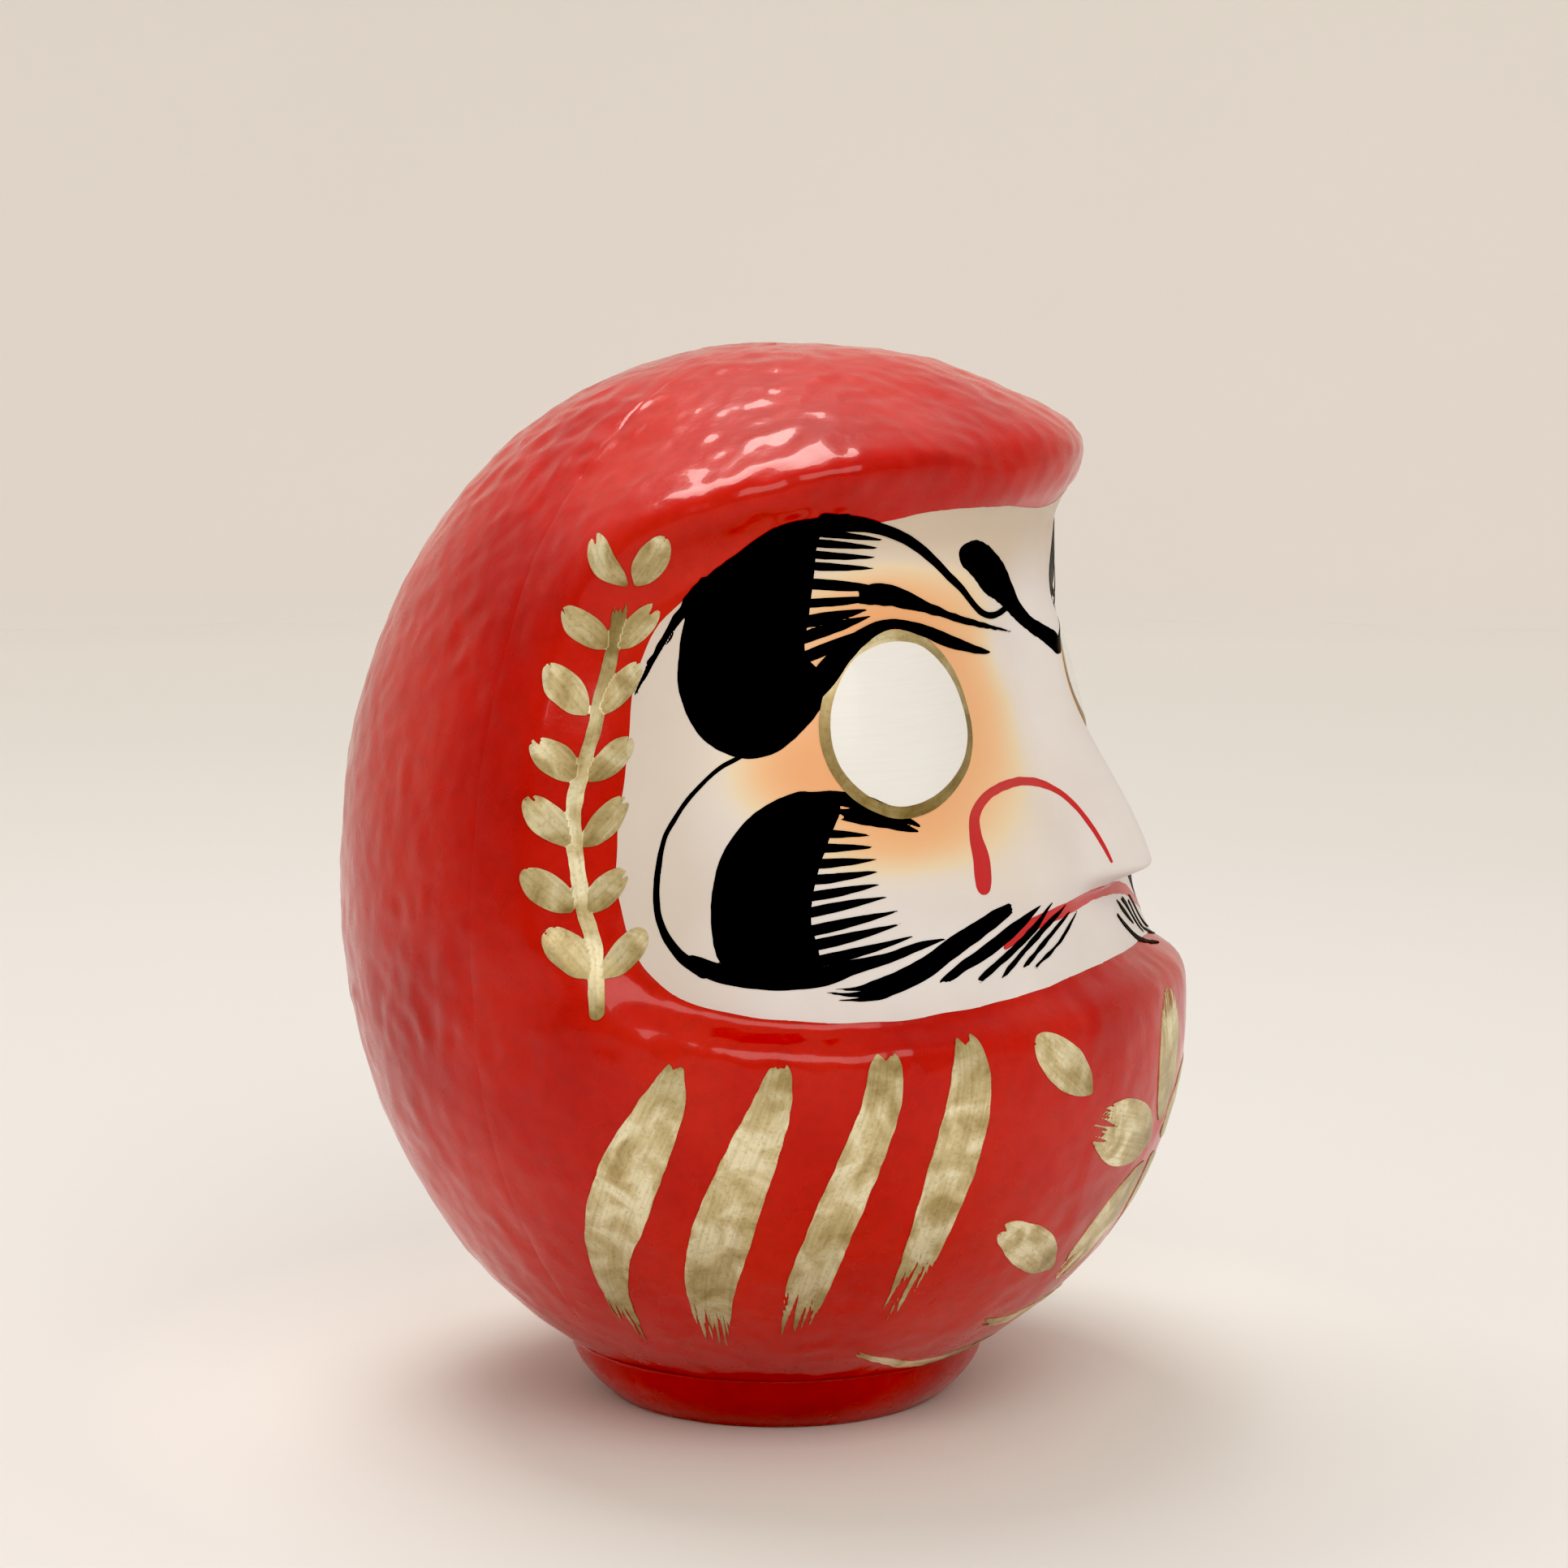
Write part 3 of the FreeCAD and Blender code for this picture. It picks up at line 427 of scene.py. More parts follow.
class Stroke:
    """Brush stroke through (azimuth, height, half width) points.

    dry_start and dry_end are the millimetres over which the brush runs dry; ragged is
    how uneven its ends and edges are."""

    def __init__(self, points, dry_start=0.0, dry_end=0.0, ragged=0.12, seed=0, bristle=0.9):
        self.path = curve_through(laid_flat(points))
        steps = np.hypot(*np.diff(self.path[:, :2], axis=0).T)
        self.along = np.concatenate([[0], np.cumsum(steps)])
        self.dry_start, self.dry_end = dry_start, dry_end
        self.ragged, self.seed, self.bristle = ragged, seed, bristle

    def box(self):
        reach = self.path[:, 2].max() + 1.5
        return self.path[:, :2].min(0) - reach, self.path[:, :2].max(0) + reach

    def field(self, x, y):
        """Coverage, positive inside and about the distance to the edge, and brush lines."""
        a, b = self.path[:-1], self.path[1:]
        best = np.full(x.shape, -1e9)
        run = np.zeros(x.shape)
        side = np.zeros(x.shape)
        for k in range(len(a)):
            d = b[k, :2] - a[k, :2]
            length = math.sqrt(max(float(d @ d), 1e-12))
            t, off = from_segment(a[k], d, x, y)
            cover = a[k, 2] + (b[k, 2] - a[k, 2]) * t - off
            better = cover > best
            best = np.where(better, cover, best)
            run = np.where(better, self.along[k] + t * length, run)
            across = ((x - a[k, 0]) * d[1] - (y - a[k, 1]) * d[0]) / length
            side = np.where(better, across, side)
        best = best + self.ragged * noise_flat(run / 4 + 9, np.sign(side) * 3, self.seed)
        dryness = np.zeros(x.shape)
        if self.dry_start:
            dryness = np.maximum(dryness, 1 - run / self.dry_start)
        if self.dry_end:
            dryness = np.maximum(dryness, 1 - (self.along[-1] - run) / self.dry_end)
        streaks = noise_flat(side / self.bristle, run / 22, self.seed + 1)
        streaks = streaks + 0.35 * noise_flat(side / 0.5, run / 9, self.seed + 2)
        wet = (streaks + 1.15 - 1.9 * np.clip(dryness, 0, 1)) * 0.8
        cover = np.where(dryness > 0, np.minimum(best, wet), best)
        return cover, np.stack([run, side, streaks], -1)


class Blot:
    """Solid area of paint inside a closed curve through (azimuth, height) points."""

    def __init__(self, points, ragged=0.1, seed=0):
        flat = laid_flat(points)
        n = len(flat)
        ring = np.concatenate([flat[-1:], flat, flat[:2]])
        curve = curve_through(ring, per_span=10)
        self.path = curve[10:10 * (n + 1)]
        self.ragged, self.seed = ragged, seed

    def box(self):
        return self.path.min(0) - 1.5, self.path.max(0) + 1.5

    def field(self, x, y):
        a = self.path
        b = np.roll(a, -1, axis=0)
        nearest = np.full(x.shape, 1e9)
        inside = np.zeros(x.shape, bool)
        for k in range(len(a)):
            d = b[k] - a[k]
            _, off = from_segment(a[k], d, x, y)
            nearest = np.minimum(nearest, off)
            if d[1] != 0:
                crosses = (a[k, 1] > y) != (b[k, 1] > y)
                inside ^= crosses & (x - a[k, 0] < d[0] * (y - a[k, 1]) / d[1])
        cover = np.where(inside, nearest, -nearest)
        cover = cover + self.ragged * noise_flat(x / 2.2, y / 2.2, self.seed)
        return cover, np.stack([x, y, noise_flat(x / 1.2, y / 9, self.seed)], -1)


class FaceGround:
    """The white ground of the face."""

    def box(self):
        reach = FACE_PAINT_EDGE[0] * MM_PER_DEGREE + 3
        low = FACE_MIDDLE - FACE_PAINT_EDGE[2] - 3
        return np.array([-reach, low]), np.array([reach, FACE_MIDDLE + FACE_PAINT_EDGE[1] + 3])

    def field(self, x, y):
        reach = outline_reach(x / MM_PER_DEGREE, y, FACE_PAINT_EDGE)
        cover = (1 - reach) * 62 + 0.5 * noise_flat(x / 14, y / 14, 3)
        return cover, np.stack([x, y, 0 * x], -1)


def contour_mesh(cover, spacing):
    """Marching squares: kept grid points, edge points and the cells' polygons."""
    nx, ny = cover.shape
    inside = cover > 0
    ids = np.full((nx, ny), -1)
    ids[inside] = np.arange(inside.sum())
    grid_i, grid_j = np.nonzero(inside)
    places = [np.stack([grid_i, grid_j], -1).astype(float)]
    count = len(grid_i)
    edge_ids = []
    for axis in (0, 1):
        here = cover[:-1, :] if axis == 0 else cover[:, :-1]
        there = cover[1:, :] if axis == 0 else cover[:, 1:]
        cut = (here > 0) != (there > 0)
        i, j = np.nonzero(cut)
        t = np.clip(here[cut] / (here[cut] - there[cut]), 0.1, 0.9)
        offset = np.stack([t, 0 * t], -1) if axis == 0 else np.stack([0 * t, t], -1)
        places.append(np.stack([i, j], -1) + offset)
        numbers = np.full(cut.shape, -1)
        numbers[cut] = count + np.arange(len(i))
        count += len(i)
        edge_ids.append(numbers)
    corner_ids = [ids[:-1, :-1], ids[1:, :-1], ids[1:, 1:], ids[:-1, 1:]]
    side_ids = [edge_ids[0][:, :-1], edge_ids[1][1:, :], edge_ids[0][:, 1:], edge_ids[1][:-1, :]]
    ring = []
    for k in range(4):
        ring += [corner_ids[k], side_ids[k]]
    ring = np.stack(ring, -1).reshape(-1, 8)
    pattern = ring >= 0
    code = pattern @ (1 << np.arange(8))
    polygons = []
    borders = []
    for value in np.unique(code[code > 0]):
        chosen = ring[code == value]
        columns = [k for k in range(8) if value >> k & 1]
        if len(columns) < 3:
            continue
        polygons.append(chosen[:, columns])
        for a, b in zip(columns, columns[1:] + columns[:1]):
            if a % 2 and b % 2:
                borders.append(chosen[:, [a, b]])
    return np.concatenate(places), polygons, np.concatenate(borders)


# Materials whose slot has another name; the others are named after their slot.
SLOTS = {"rim_gold": "gold_paint"}


def paint(name, node, material, marks, height, side=0, spacing=0.5, texture=0.0):
    """A coat of paint: the union of its marks, laid on the body as a thin closed skin.

    side is -1 for the doll's right, where the marks are mirrored, 1 for its left and 0
    for a piece in the middle."""
    lows, highs = zip(*[mark.box() for mark in marks])
    low, high = np.min(lows, axis=0), np.max(highs, axis=0)
    counts = np.ceil((high - low) / spacing).astype(int) + 1
    x = low[0] + spacing * np.arange(counts[0])
    y = low[1] + spacing * np.arange(counts[1])
    cover = np.full((counts[0], counts[1]), -5.0)
    brush = np.zeros((counts[0], counts[1], 3))
    for mark in marks:
        mark_low, mark_high = mark.box()
        i0, j0 = np.maximum(np.floor((mark_low - low) / spacing).astype(int), 0)
        i1, j1 = np.ceil((mark_high - low) / spacing).astype(int) + 1
        gx, gy = np.meshgrid(x[i0:i1], y[j0:j1], indexing="ij")
        value, lines = mark.field(gx, gy)
        window = cover[i0:i1, j0:j1]
        better = value > window
        brush[i0:i1, j0:j1][better] = lines[better]
        cover[i0:i1, j0:j1] = np.maximum(window, value)
    cover[[0, -1], :] = cover[:, [0, -1]] = -1.0
    places, polygons, borders = contour_mesh(cover, spacing)
    flat = low + places * spacing
    i = np.clip(np.round(places).astype(int), 0, counts - 1)
    lines = brush[i[:, 0], i[:, 1]]
    azimuth = (side or 1) * flat[:, 0] / MM_PER_DEGREE
    lift = height + texture * lines[:, 2]
    top, _ = body_points(azimuth, flat[:, 1], lift)
    bottom, _ = body_points(azimuth, flat[:, 1], -0.05)
    n = len(top)
    faces = list(polygons) + [p[:, ::-1] + n for p in polygons]
    walls = np.stack([borders[:, 1], borders[:, 0], borders[:, 0] + n, borders[:, 1] + n], -1)
    faces.append(walls)
    if side < 0:
        faces = [f[:, ::-1] for f in faces]
    end = ("", "_left", "_right")[side]
    obj = new_object(name + end, np.concatenate([top, bottom]), faces, material)
    mark_sharp(obj, 50)
    add_attribute(obj, "brush", np.concatenate([lines, lines]))
    kind = material.name.split(".")[0]
    return as_piece(obj, SLOTS.get(kind, kind), node + end)


def mark_sharp(obj, degrees):
    obj.data.set_sharp_from_angle(angle=math.radians(degrees))


# ---- materials ----
def shaded(name):
    """A new material: its node tree, its shader and a function that adds linked nodes."""
    material = bpy.data.materials.new(name)
    material.use_nodes = True
    tree = material.node_tree
    shader = tree.nodes["Principled BSDF"]

    def add(kind, inputs=None, **settings):
        node = tree.nodes.new("ShaderNode" + kind)
        for key, value in settings.items():
            setattr(node, key, value)
        for key, value in (inputs or {}).items():
            if isinstance(value, bpy.types.NodeSocket):
                tree.links.new(value, node.inputs[key])
            else:
                node.inputs[key].default_value = value
        return node

    def link(source, socket):
        tree.links.new(source, shader.inputs[socket])

    return material, shader, add, link


def shine(shader, coat=0.0, coat_roughness=0.05, metallic=0.0, specular=0.5):
    shader.inputs["Coat Weight"].default_value = coat
    shader.inputs["Coat Roughness"].default_value = coat_roughness
    shader.inputs["Metallic"].default_value = metallic
    shader.inputs["Specular IOR Level"].default_value = specular


def grain(add, size_mm, detail=3.0, distortion=0.0):
    """Noise in object space whose waves are about size_mm long."""
    place = add("TexCoord").outputs["Object"]
    waves = {"Scale": 1000 / size_mm, "Detail": detail, "Distortion": distortion}
    return add("TexNoise", {"Vector": place, **waves}).outputs["Fac"]


def graded(add, factor, *stops):
    """Colour ramp through (position, colour) stops."""
    ramp = add("ValToRGB", {"Fac": factor})
    elements = ramp.color_ramp.elements
    for spare in range(len(stops) - 2):
        elements.new(0.5)
    for element, (position, colour) in zip(elements, stops):
        element.position = position
        element.color = (*colour, 1)
    return ramp.outputs["Color"]


def mixed(add, factor, first, second, blend="MIX"):
    node = add("Mix", data_type="RGBA", blend_type=blend)
    for index, value in ((0, factor), (6, first), (7, second)):
        socket = node.inputs[index]
        if isinstance(value, bpy.types.NodeSocket):
            node.id_data.links.new(value, socket)
        elif isinstance(value, tuple):
            socket.default_value = (*value, 1)
        else:
            socket.default_value = value
    return node.outputs[2]


def bumps(add, link, *layers):
    """Bump from (height, depth in mm) layers, one over another."""
    normal = None
    for height, depth in layers:
        node = add("Bump", {"Height": height, "Distance": depth * MM, "Strength": 1.0})
        if normal:
            node.id_data.links.new(normal, node.inputs["Normal"])
        normal = node.outputs["Normal"]
    link(normal, "Normal")


def remap(add, value, low, high, start=0.3, end=0.7):
    inputs = {"Value": value, "From Min": start, "From Max": end, "To Min": low, "To Max": high}
    return add("MapRange", inputs).outputs["Result"]


def lacquer(name, deep, body, bright):
    """Glossy pigment lacquer brushed over papier-mache."""
    material, shader, add, link = shaded(name)
    broad = grain(add, 60, 4)
    fine = grain(add, 3.5, 5)
    colour = graded(add, broad, (0.32, deep), (0.5, body), (0.70, bright))
    specks = graded(add, fine, (0.30, (0.80, 0.80, 0.80)), (0.55, (1, 1, 1)))
    link(mixed(add, 0.5, colour, specks, "MULTIPLY"), "Base Color")
    shine(shader, coat=0.45, coat_roughness=0.07, specular=0.2)
    link(remap(add, grain(add, 22, 4), 0.20, 0.38), "Roughness")
    bumps(add, link, (grain(add, 4.6, 3), 0.14), (grain(add, 1.5, 2), 0.05))
    return material


def ground_paint(name):
    """Chalky white ground of the face, with its airbrushed blush and a cream tint that also carries
    painted shade under the brim and at the outer cheeks.
    """
    material, shader, add, link = shaded(name)
    blush = add("Attribute", attribute_name="blush").outputs["Fac"]
    cream_and_shade = add("Attribute", attribute_name="cream_and_shade").outputs["Fac"]
    chalk = ((0.3, (0.72, 0.675, 0.655)), (0.7, (0.78, 0.74, 0.725)))
    cloud = graded(add, grain(add, 30, 4), *chalk)
    # The cream colour mixed in is partly the paint's own tint and partly painted shade under the
    # brim and at the outer cheeks.
    cream_and_shade_tone = mixed(add, cream_and_shade, cloud, (0.60, 0.49, 0.37))
    tone = graded(
        add, blush, (0.0, (0.78, 0.72, 0.66)), (0.30, (0.80, 0.66, 0.45)),
        (0.62, (0.84, 0.52, 0.28)), (1.0, (0.82, 0.40, 0.18)),
    )
    share = remap(add, blush, 0.0, 1.0, 0.0, 0.30)
    link(mixed(add, share, cream_and_shade_tone, tone), "Base Color")
    shine(shader, coat=0.15, coat_roughness=0.25, specular=0.4)
    link(remap(add, grain(add, 9, 4), 0.36, 0.52), "Roughness")
    bumps(add, link, (grain(add, 6, 4), 0.03), (grain(add, 0.9, 2), 0.008))
    return material


def brush_lines(add, along, across, **settings):
    """Noise drawn out along the brush strokes, and the strokes' own coordinates."""
    lines = add("Attribute", attribute_name="brush").outputs["Vector"]
    drawn = add("Mapping", {"Vector": lines, "Scale": (along, across, 0)}).outputs["Vector"]
    streak = add("TexNoise", {"Vector": drawn, "Scale": 1.0, **settings}).outputs["Fac"]
    return streak, lines


def brushed_paint(name, thin, full, roughness, coat, specular=0.4):
    """Flat colour laid with a brush, with faint brush lines."""
    material, shader, add, link = shaded(name)
    streak, _ = brush_lines(add, 0.05, 1.3, Detail=4.0)
    link(graded(add, streak, (0.35, thin), (0.6, full)), "Base Color")
    shine(shader, coat=coat, coat_roughness=0.1, specular=specular)
    link(remap(add, grain(add, 14, 4), roughness * 0.8, roughness * 1.3), "Roughness")
    bumps(add, link, (streak, 0.02), (grain(add, 3.5, 3), 0.02))
    return material


# Millimetres over which a brush charged with gold is spent.
GOLD_RUN = 100.0


def gold_paint(name, dark, body, light):
    """Bronze-powder gold: mottled, streaked along the brush and darker as it is spent."""
    material, shader, add, link = shaded(name)
    streak, lines = brush_lines(add, 0.045, 0.9, Detail=5.0, Roughness=0.6)
    run = add("SeparateXYZ", {0: lines}).outputs["X"]
    blotch = grain(add, 11, 7, distortion=0.8)
    powder = grain(add, 1.1, 3)
    base = graded(add, blotch, (0.34, dark), (0.50, body), (0.62, light))
    worn = graded(
        add, remap(add, run, 0.0, 1.0, 0.0, GOLD_RUN),
        (0.0, (0.52, 0.46, 0.32)), (0.16, (1, 1, 1)), (0.42, (1, 1, 1)), (0.95, (0.44, 0.40, 0.28)),
    )
    lined = graded(add, streak, (0.36, (0.62, 0.58, 0.46)), (0.56, (1, 1, 1)))
    colour = mixed(add, 0.45, mixed(add, 1.0, base, worn, "MULTIPLY"), lined, "MULTIPLY")
    speck = graded(add, powder, (0.34, (0.60, 0.56, 0.48)), (0.46, (1, 1, 1)))
    link(mixed(add, 0.4, colour, speck, "MULTIPLY"), "Base Color")
    shine(shader, coat=0.1, coat_roughness=0.2, metallic=0.4)
    link(remap(add, blotch, 0.30, 0.50), "Roughness")
    bumps(add, link, (streak, 0.03), (powder, 0.01))
    return material


def fibrous(name, dark, light, roughness=0.85):
    """Matt handmade paper or dry clay."""
    material, shader, add, link = shaded(name)
    cloud = grain(add, 12, 6, distortion=0.6)
    link(graded(add, cloud, (0.3, dark), (0.7, light)), "Base Color")
    shine(shader, specular=0.25)
    link(remap(add, grain(add, 4, 3), roughness - 0.1, roughness), "Roughness")
    bumps(add, link, (grain(add, 2.4, 5, distortion=1.0), 0.12), (grain(add, 0.5, 2), 0.03))
    return material


RED = lacquer("red_lacquer", (0.42, 0.004, 0.002), (0.51, 0.009, 0.004), (0.57, 0.018, 0.007))
# The foot's lacquer is a darker copy of the body's red: painted shade for the foot, which sits low
# under the belly.
FOOT_RED_SHADED = lacquer("foot_lacquer", (0.34, 0.001, 0.001), (0.44, 0.003, 0.002), (0.50, 0.006, 0.004))
WHITE_GROUND = ground_paint("white_ground")
EYE_WHITE = brushed_paint("eye_white", (0.80, 0.80, 0.77), (0.82, 0.82, 0.795), 0.36, 0.2)
BLACK = brushed_paint("black_ink", (0.002, 0.002, 0.002), (0.001, 0.001, 0.001), 0.5, 0.0, 0.1)
RED_INK = brushed_paint("red_ink", (0.50, 0.012, 0.016), (0.56, 0.018, 0.020), 0.32, 0.3)
GOLD = gold_paint("gold_paint", (0.47, 0.36, 0.16), (0.69, 0.58, 0.325), (0.88, 0.81, 0.56))
RIM_GOLD = gold_paint("rim_gold", (0.40, 0.31, 0.13), (0.54, 0.44, 0.22), (0.70, 0.61, 0.38))
BARE_PAPER = fibrous("bare_paper", (0.46, 0.38, 0.27), (0.62, 0.54, 0.42))
BASE_PAPER = fibrous("base_paper", (0.50, 0.44, 0.35), (0.66, 0.60, 0.50))
CLAY = fibrous("clay", (0.27, 0.17, 0.11), (0.40, 0.28, 0.19), 0.95)


# ---- papier-mache body and foot ----
COLUMNS_FRONT = 300
COLUMNS_REAR = 200
BODY_ROWS = 240
FOOT_COLUMNS = 360
CLAY_LEDGE = 6.0
# Outside of the foot from its base up to the joint: radius and height.
FOOT_FLANK = [
    (48, 0), (49.2, 0.4), (50.6, 1.6), (53.3, 4), (56, 7), (58.6, 11), (60, 15), (60.1, 16.6),
    (59.3, 17),
]


def foot_ring():
    """Turned foot with a rolled lip, slightly uneven, with pinholes under the joint."""
    flank = curve_through(FOOT_FLANK, per_span=5)
    bottom = np.array([(FOOT_BORE, 0), (45.3, 0), (46.6, 0)])
    top = np.array([(57, FOOT_HEIGHT), (54, FOOT_HEIGHT), (CLAY_RADIUS, FOOT_HEIGHT)])
    bore = [(CLAY_RADIUS, 12), (CLAY_RADIUS, CLAY_LEDGE), (FOOT_BORE, CLAY_LEDGE), (FOOT_BORE, 3)]
    section = np.concatenate([bottom, flank, top, bore])
    outer = np.zeros(len(section))
    outer[len(bottom) + 1:len(bottom) + len(flank) - 1] = 1
    azimuths = np.arange(FOOT_COLUMNS)[:, None] * 360 / FOOT_COLUMNS
    points = polar(azimuths, section[:, 0], section[:, 1])
    swell = 0.30 * noise(points, 24, 21) + 0.14 * noise(points, 9, 22) + 0.06 * noise(points, 4, 23)
    pits = noise(points, 5.5, 24) - 0.62
    band = bell((section[:, 1] - 13.5) / 3.5)
    reach = section[:, 0] + outer * (swell - 0.25 - 2.2 * np.clip(pits, 0, None) * band)
    vertices = polar(azimuths, reach, section[:, 1])
    n = len(section)
    i, j = np.meshgrid(np.arange(FOOT_COLUMNS), np.arange(n), indexing="ij")
    following, above = (i + 1) % FOOT_COLUMNS, (j + 1) % n
    faces = np.stack([i * n + j, following * n + j, following * n + above, i * n + above], -1)
    faces = [faces.reshape(-1, 4)]
    foot = new_object("foot_ring_lacquered", vertices.reshape(-1, 3), faces, FOOT_RED_SHADED)
    mark_sharp(foot, 50)
    return as_piece(foot, "foot_lacquer", "foot_ring")


def build_body():
    halves = (
        ("front_half", "shell_front", -PARTING_AZIMUTH, PARTING_AZIMUTH, COLUMNS_FRONT),
        ("rear_half", "shell_rear", PARTING_AZIMUTH, 360 - PARTING_AZIMUTH, COLUMNS_REAR),
    )
    for name, node, first, last, columns in halves:
        half = body_half(name, first, last, columns, BODY_ROWS, RED)
        mark_sharp(half, 60)
        as_piece(half, "red_lacquer", node)
    foot_ring()


# ---- painted face: (azimuth, height, half width) along each stroke of one half ----
EYE = [
    (49, 226.3), (43, 223.7), (36.5, 214.5), (34, 203), (36, 195), (41, 189), (46.8, 184.9),
    (52, 184.2), (57, 188), (60.7, 195.5), (61.9, 204.5), (61, 213.5), (58, 221.4), (54, 225.2),
]
BROW_MASS = [
    (61.5, 260.3), (57.5, 260.4), (59.5, 257.5), (62.8, 254), (63.7, 244), (64.6, 234), (65.3, 224),
    (61.3, 217.3), (62.2, 212.6), (66, 204.8), (70.3, 199.2), (75.3, 198.3), (80.6, 203.4),
    (84, 213.5), (84.8, 223), (84.2, 234.5), (81.6, 243.6), (76, 251), (69.5, 258),
]
BROW_TAIL = [
    (81.8, 243.5, 0.9), (84, 237.5, 1.5), (86.6, 230, 1.4), (88.8, 222.2, 1), (90.9, 213.5, 0.7),
    (91.8, 207, 0.4),
]
# Hairs of the brow, from its straight inner edge: root height, tip (azimuth, height), half width.
BROW_HAIRS = [
    (256.4, (50.5, 253), 1.1), (253.3, (51.4, 250.8), 1.1), (250.2, (52, 248.4), 1.05),
    (247.1, (52.6, 245.6), 1.1), (242.4, (49, 239.6), 1.45), (237.1, (50, 238), 1.2),
    (232.4, (54, 235), 1.6), (228.4, (53.6, 233.2), 1.6), (223.2, (52, 231), 1.6),
]
BROW_CURL = [
    (62, 258.6, 2.6), (55.5, 257.6, 2), (51.3, 256, 1.6), (47.2, 253.7, 1.5), (43.3, 250.6, 1.5),
    (38.8, 245.8, 1.3), (35.4, 241.7, 1.2), (32.1, 238.2, 1.1), (28.3, 233.3, 1),
    (25.5, 230.8, 0.9), (22.3, 229.6, 0.9), (18.9, 229.9, 0.9), (14.5, 231.8, 1.1),
]
EYELID = [
    (66, 212, 3), (62, 219, 3.4), (59, 224.1, 2.9), (56, 227.5, 2.2), (52.7, 230, 1.6),
    (48.9, 230.6, 1.3), (43.7, 228.6, 1.6), (37.1, 225, 1.8), (31.5, 222.5, 1.4),
    (25.8, 220.4, 0.9), (22.6, 219.6, 0.2),
]
BROW_STROKE = [
    (56.3, 238.8, 2.2), (52.5, 238.7, 2.8), (48.6, 237.9, 2.8), (45, 236, 2.1), (40.5, 233.6, 1.4),
    (32.8, 230, 0.9), (25.4, 227.4, 0.7), (13.8, 224, 0.1),
]
FOREHEAD_MARK = [
    (32, 249.2), (28, 250.7), (24.4, 249.5), (20.8, 246.7), (16.7, 242.2), (13.6, 237), (10.4, 231),
    (7, 226.6), (0.5, 221.5), (-1.2, 217.6), (1, 216.2), (6.4, 221.3), (11.5, 226), (15.8, 230),
    (20.3, 233.4), (24.4, 236), (28.6, 241.1), (32.1, 245),
]
LEFT_MARK_SQUEEZE = 0.85
CHEEK_LINE = [
    (75, 198.6, 0.55), (78, 195.4, 0.55), (81.2, 189.6, 0.6), (83.9, 182, 0.6), (85.3, 175, 0.65),
    (85.9, 162.2, 0.8), (84.9, 153.5, 1), (82.5, 146.8, 1.4), (79.5, 142.9, 1.9),
]
BEARD_MASS = [
    (67, 189.2), (62.5, 187.6), (60.8, 184.5), (62.6, 176.3), (64.6, 166), (65.3, 156),
    (64.2, 147.5), (64.5, 141.6), (69.6, 139.4), (74.5, 140.8), (77.4, 145.5), (78.4, 153),
    (78.5, 163), (77, 174.5), (73, 184),
]
BEARD_TOP = [
    [(66, 187.6, 1.6), (60, 187, 2), (55.6, 184.6, 2), (51.6, 181.4, 1.2), (48.3, 178.6, 0.3)],
    [(61.5, 183.4, 1.2), (58, 182.3, 2), (54.3, 180.8, 1.8), (51, 178.6, 1), (48.6, 177.2, 0.3)],
]
BEARD_LOW = [
    (81, 145.4, 1.8), (77, 142.4, 2.6), (70, 140.6, 2.6), (64, 141.2, 2.6), (59.6, 143.2, 2),
    (54.6, 144.8, 1.4), (49.4, 147.2, 1.1), (44.8, 148.4, 0.1),
]
# Hairs of the beard: root height, tip (azimuth, height), half width.
BEARD_HAIRS = [
    (178.6, (56.2, 177.2), 1.2), (174.6, (55.8, 174), 1.25), (170.6, (55.5, 170.8), 1.3),
    (166.4, (55, 167.7), 1.3), (162, (54.8, 164.4), 1.3), (157.8, (54, 161), 1.35),
    (152.9, (52.6, 157), 1.5), (149, (52.2, 153.6), 1.5), (144.6, (50.3, 150), 1.5),
]
MOUSTACHE = [
    [
        (63.8, 137, 1.3), (60, 136.2, 1.7), (56.5, 136.8, 2.6), (53.6, 138.2, 2.7),
        (50.9, 139.8, 2.8), (48, 142, 2.8), (45, 144.8, 2.7), (41.7, 147.4, 2.6),
        (38.1, 149.9, 2.4), (34.4, 152.2, 2.1), (31.4, 153.9, 1.3),
    ],
    [
        (47, 136.4, 0.4), (45.1, 138.3, 1.1), (42.3, 140.7, 1.4), (38.8, 143, 1.6),
        (35, 145.6, 1.8), (30.7, 148.6, 1.5), (27.6, 150.8, 0.9), (25, 153, 0.1),
    ],
]
WHISKERS = [
    [
        (41.6, 135, 0.3), (39.2, 137.2, 0.8), (35.7, 140.3, 0.8), (31.4, 143.7, 0.9),
        (26.7, 147.5, 0.9), (22.5, 153, 0.1),
    ],
    [
        (36.2, 135.8, 0.2), (33.8, 138.5, 0.7), (30.2, 142.1, 0.7), (25.7, 145.9, 0.8),
        (21.5, 149.2, 0.7), (18.6, 152, 0.1),
    ],
    [(32, 136.4, 0.5), (30, 138.9, 0.6), (25.7, 142.7, 0.6), (21.5, 146.2, 0.6), (17, 149.8, 0.1)],
    [
        (30.5, 134.5, 0.1), (28.3, 137.6, 0.4), (23.6, 140.8, 0.4), (19.9, 143.9, 0.5),
        (14.9, 148.8, 0.1),
    ],
]
MOUTH_LINE = [
    (-34.6, 144, 1.1), (-31.8, 145.7, 1.4), (-27.4, 148.1, 1.7), (-23.2, 149.4, 1.8),
    (-18.5, 150.4, 1.8), (-13.7, 151, 1.7), (-6, 151.3, 1.7), (2.2, 150.4, 1.7), (6.7, 149.1, 1.7),
    (11.6, 147.2, 1.7), (15.6, 143.9, 1.6), (20, 141.2, 1.4), (26, 139, 1),
]
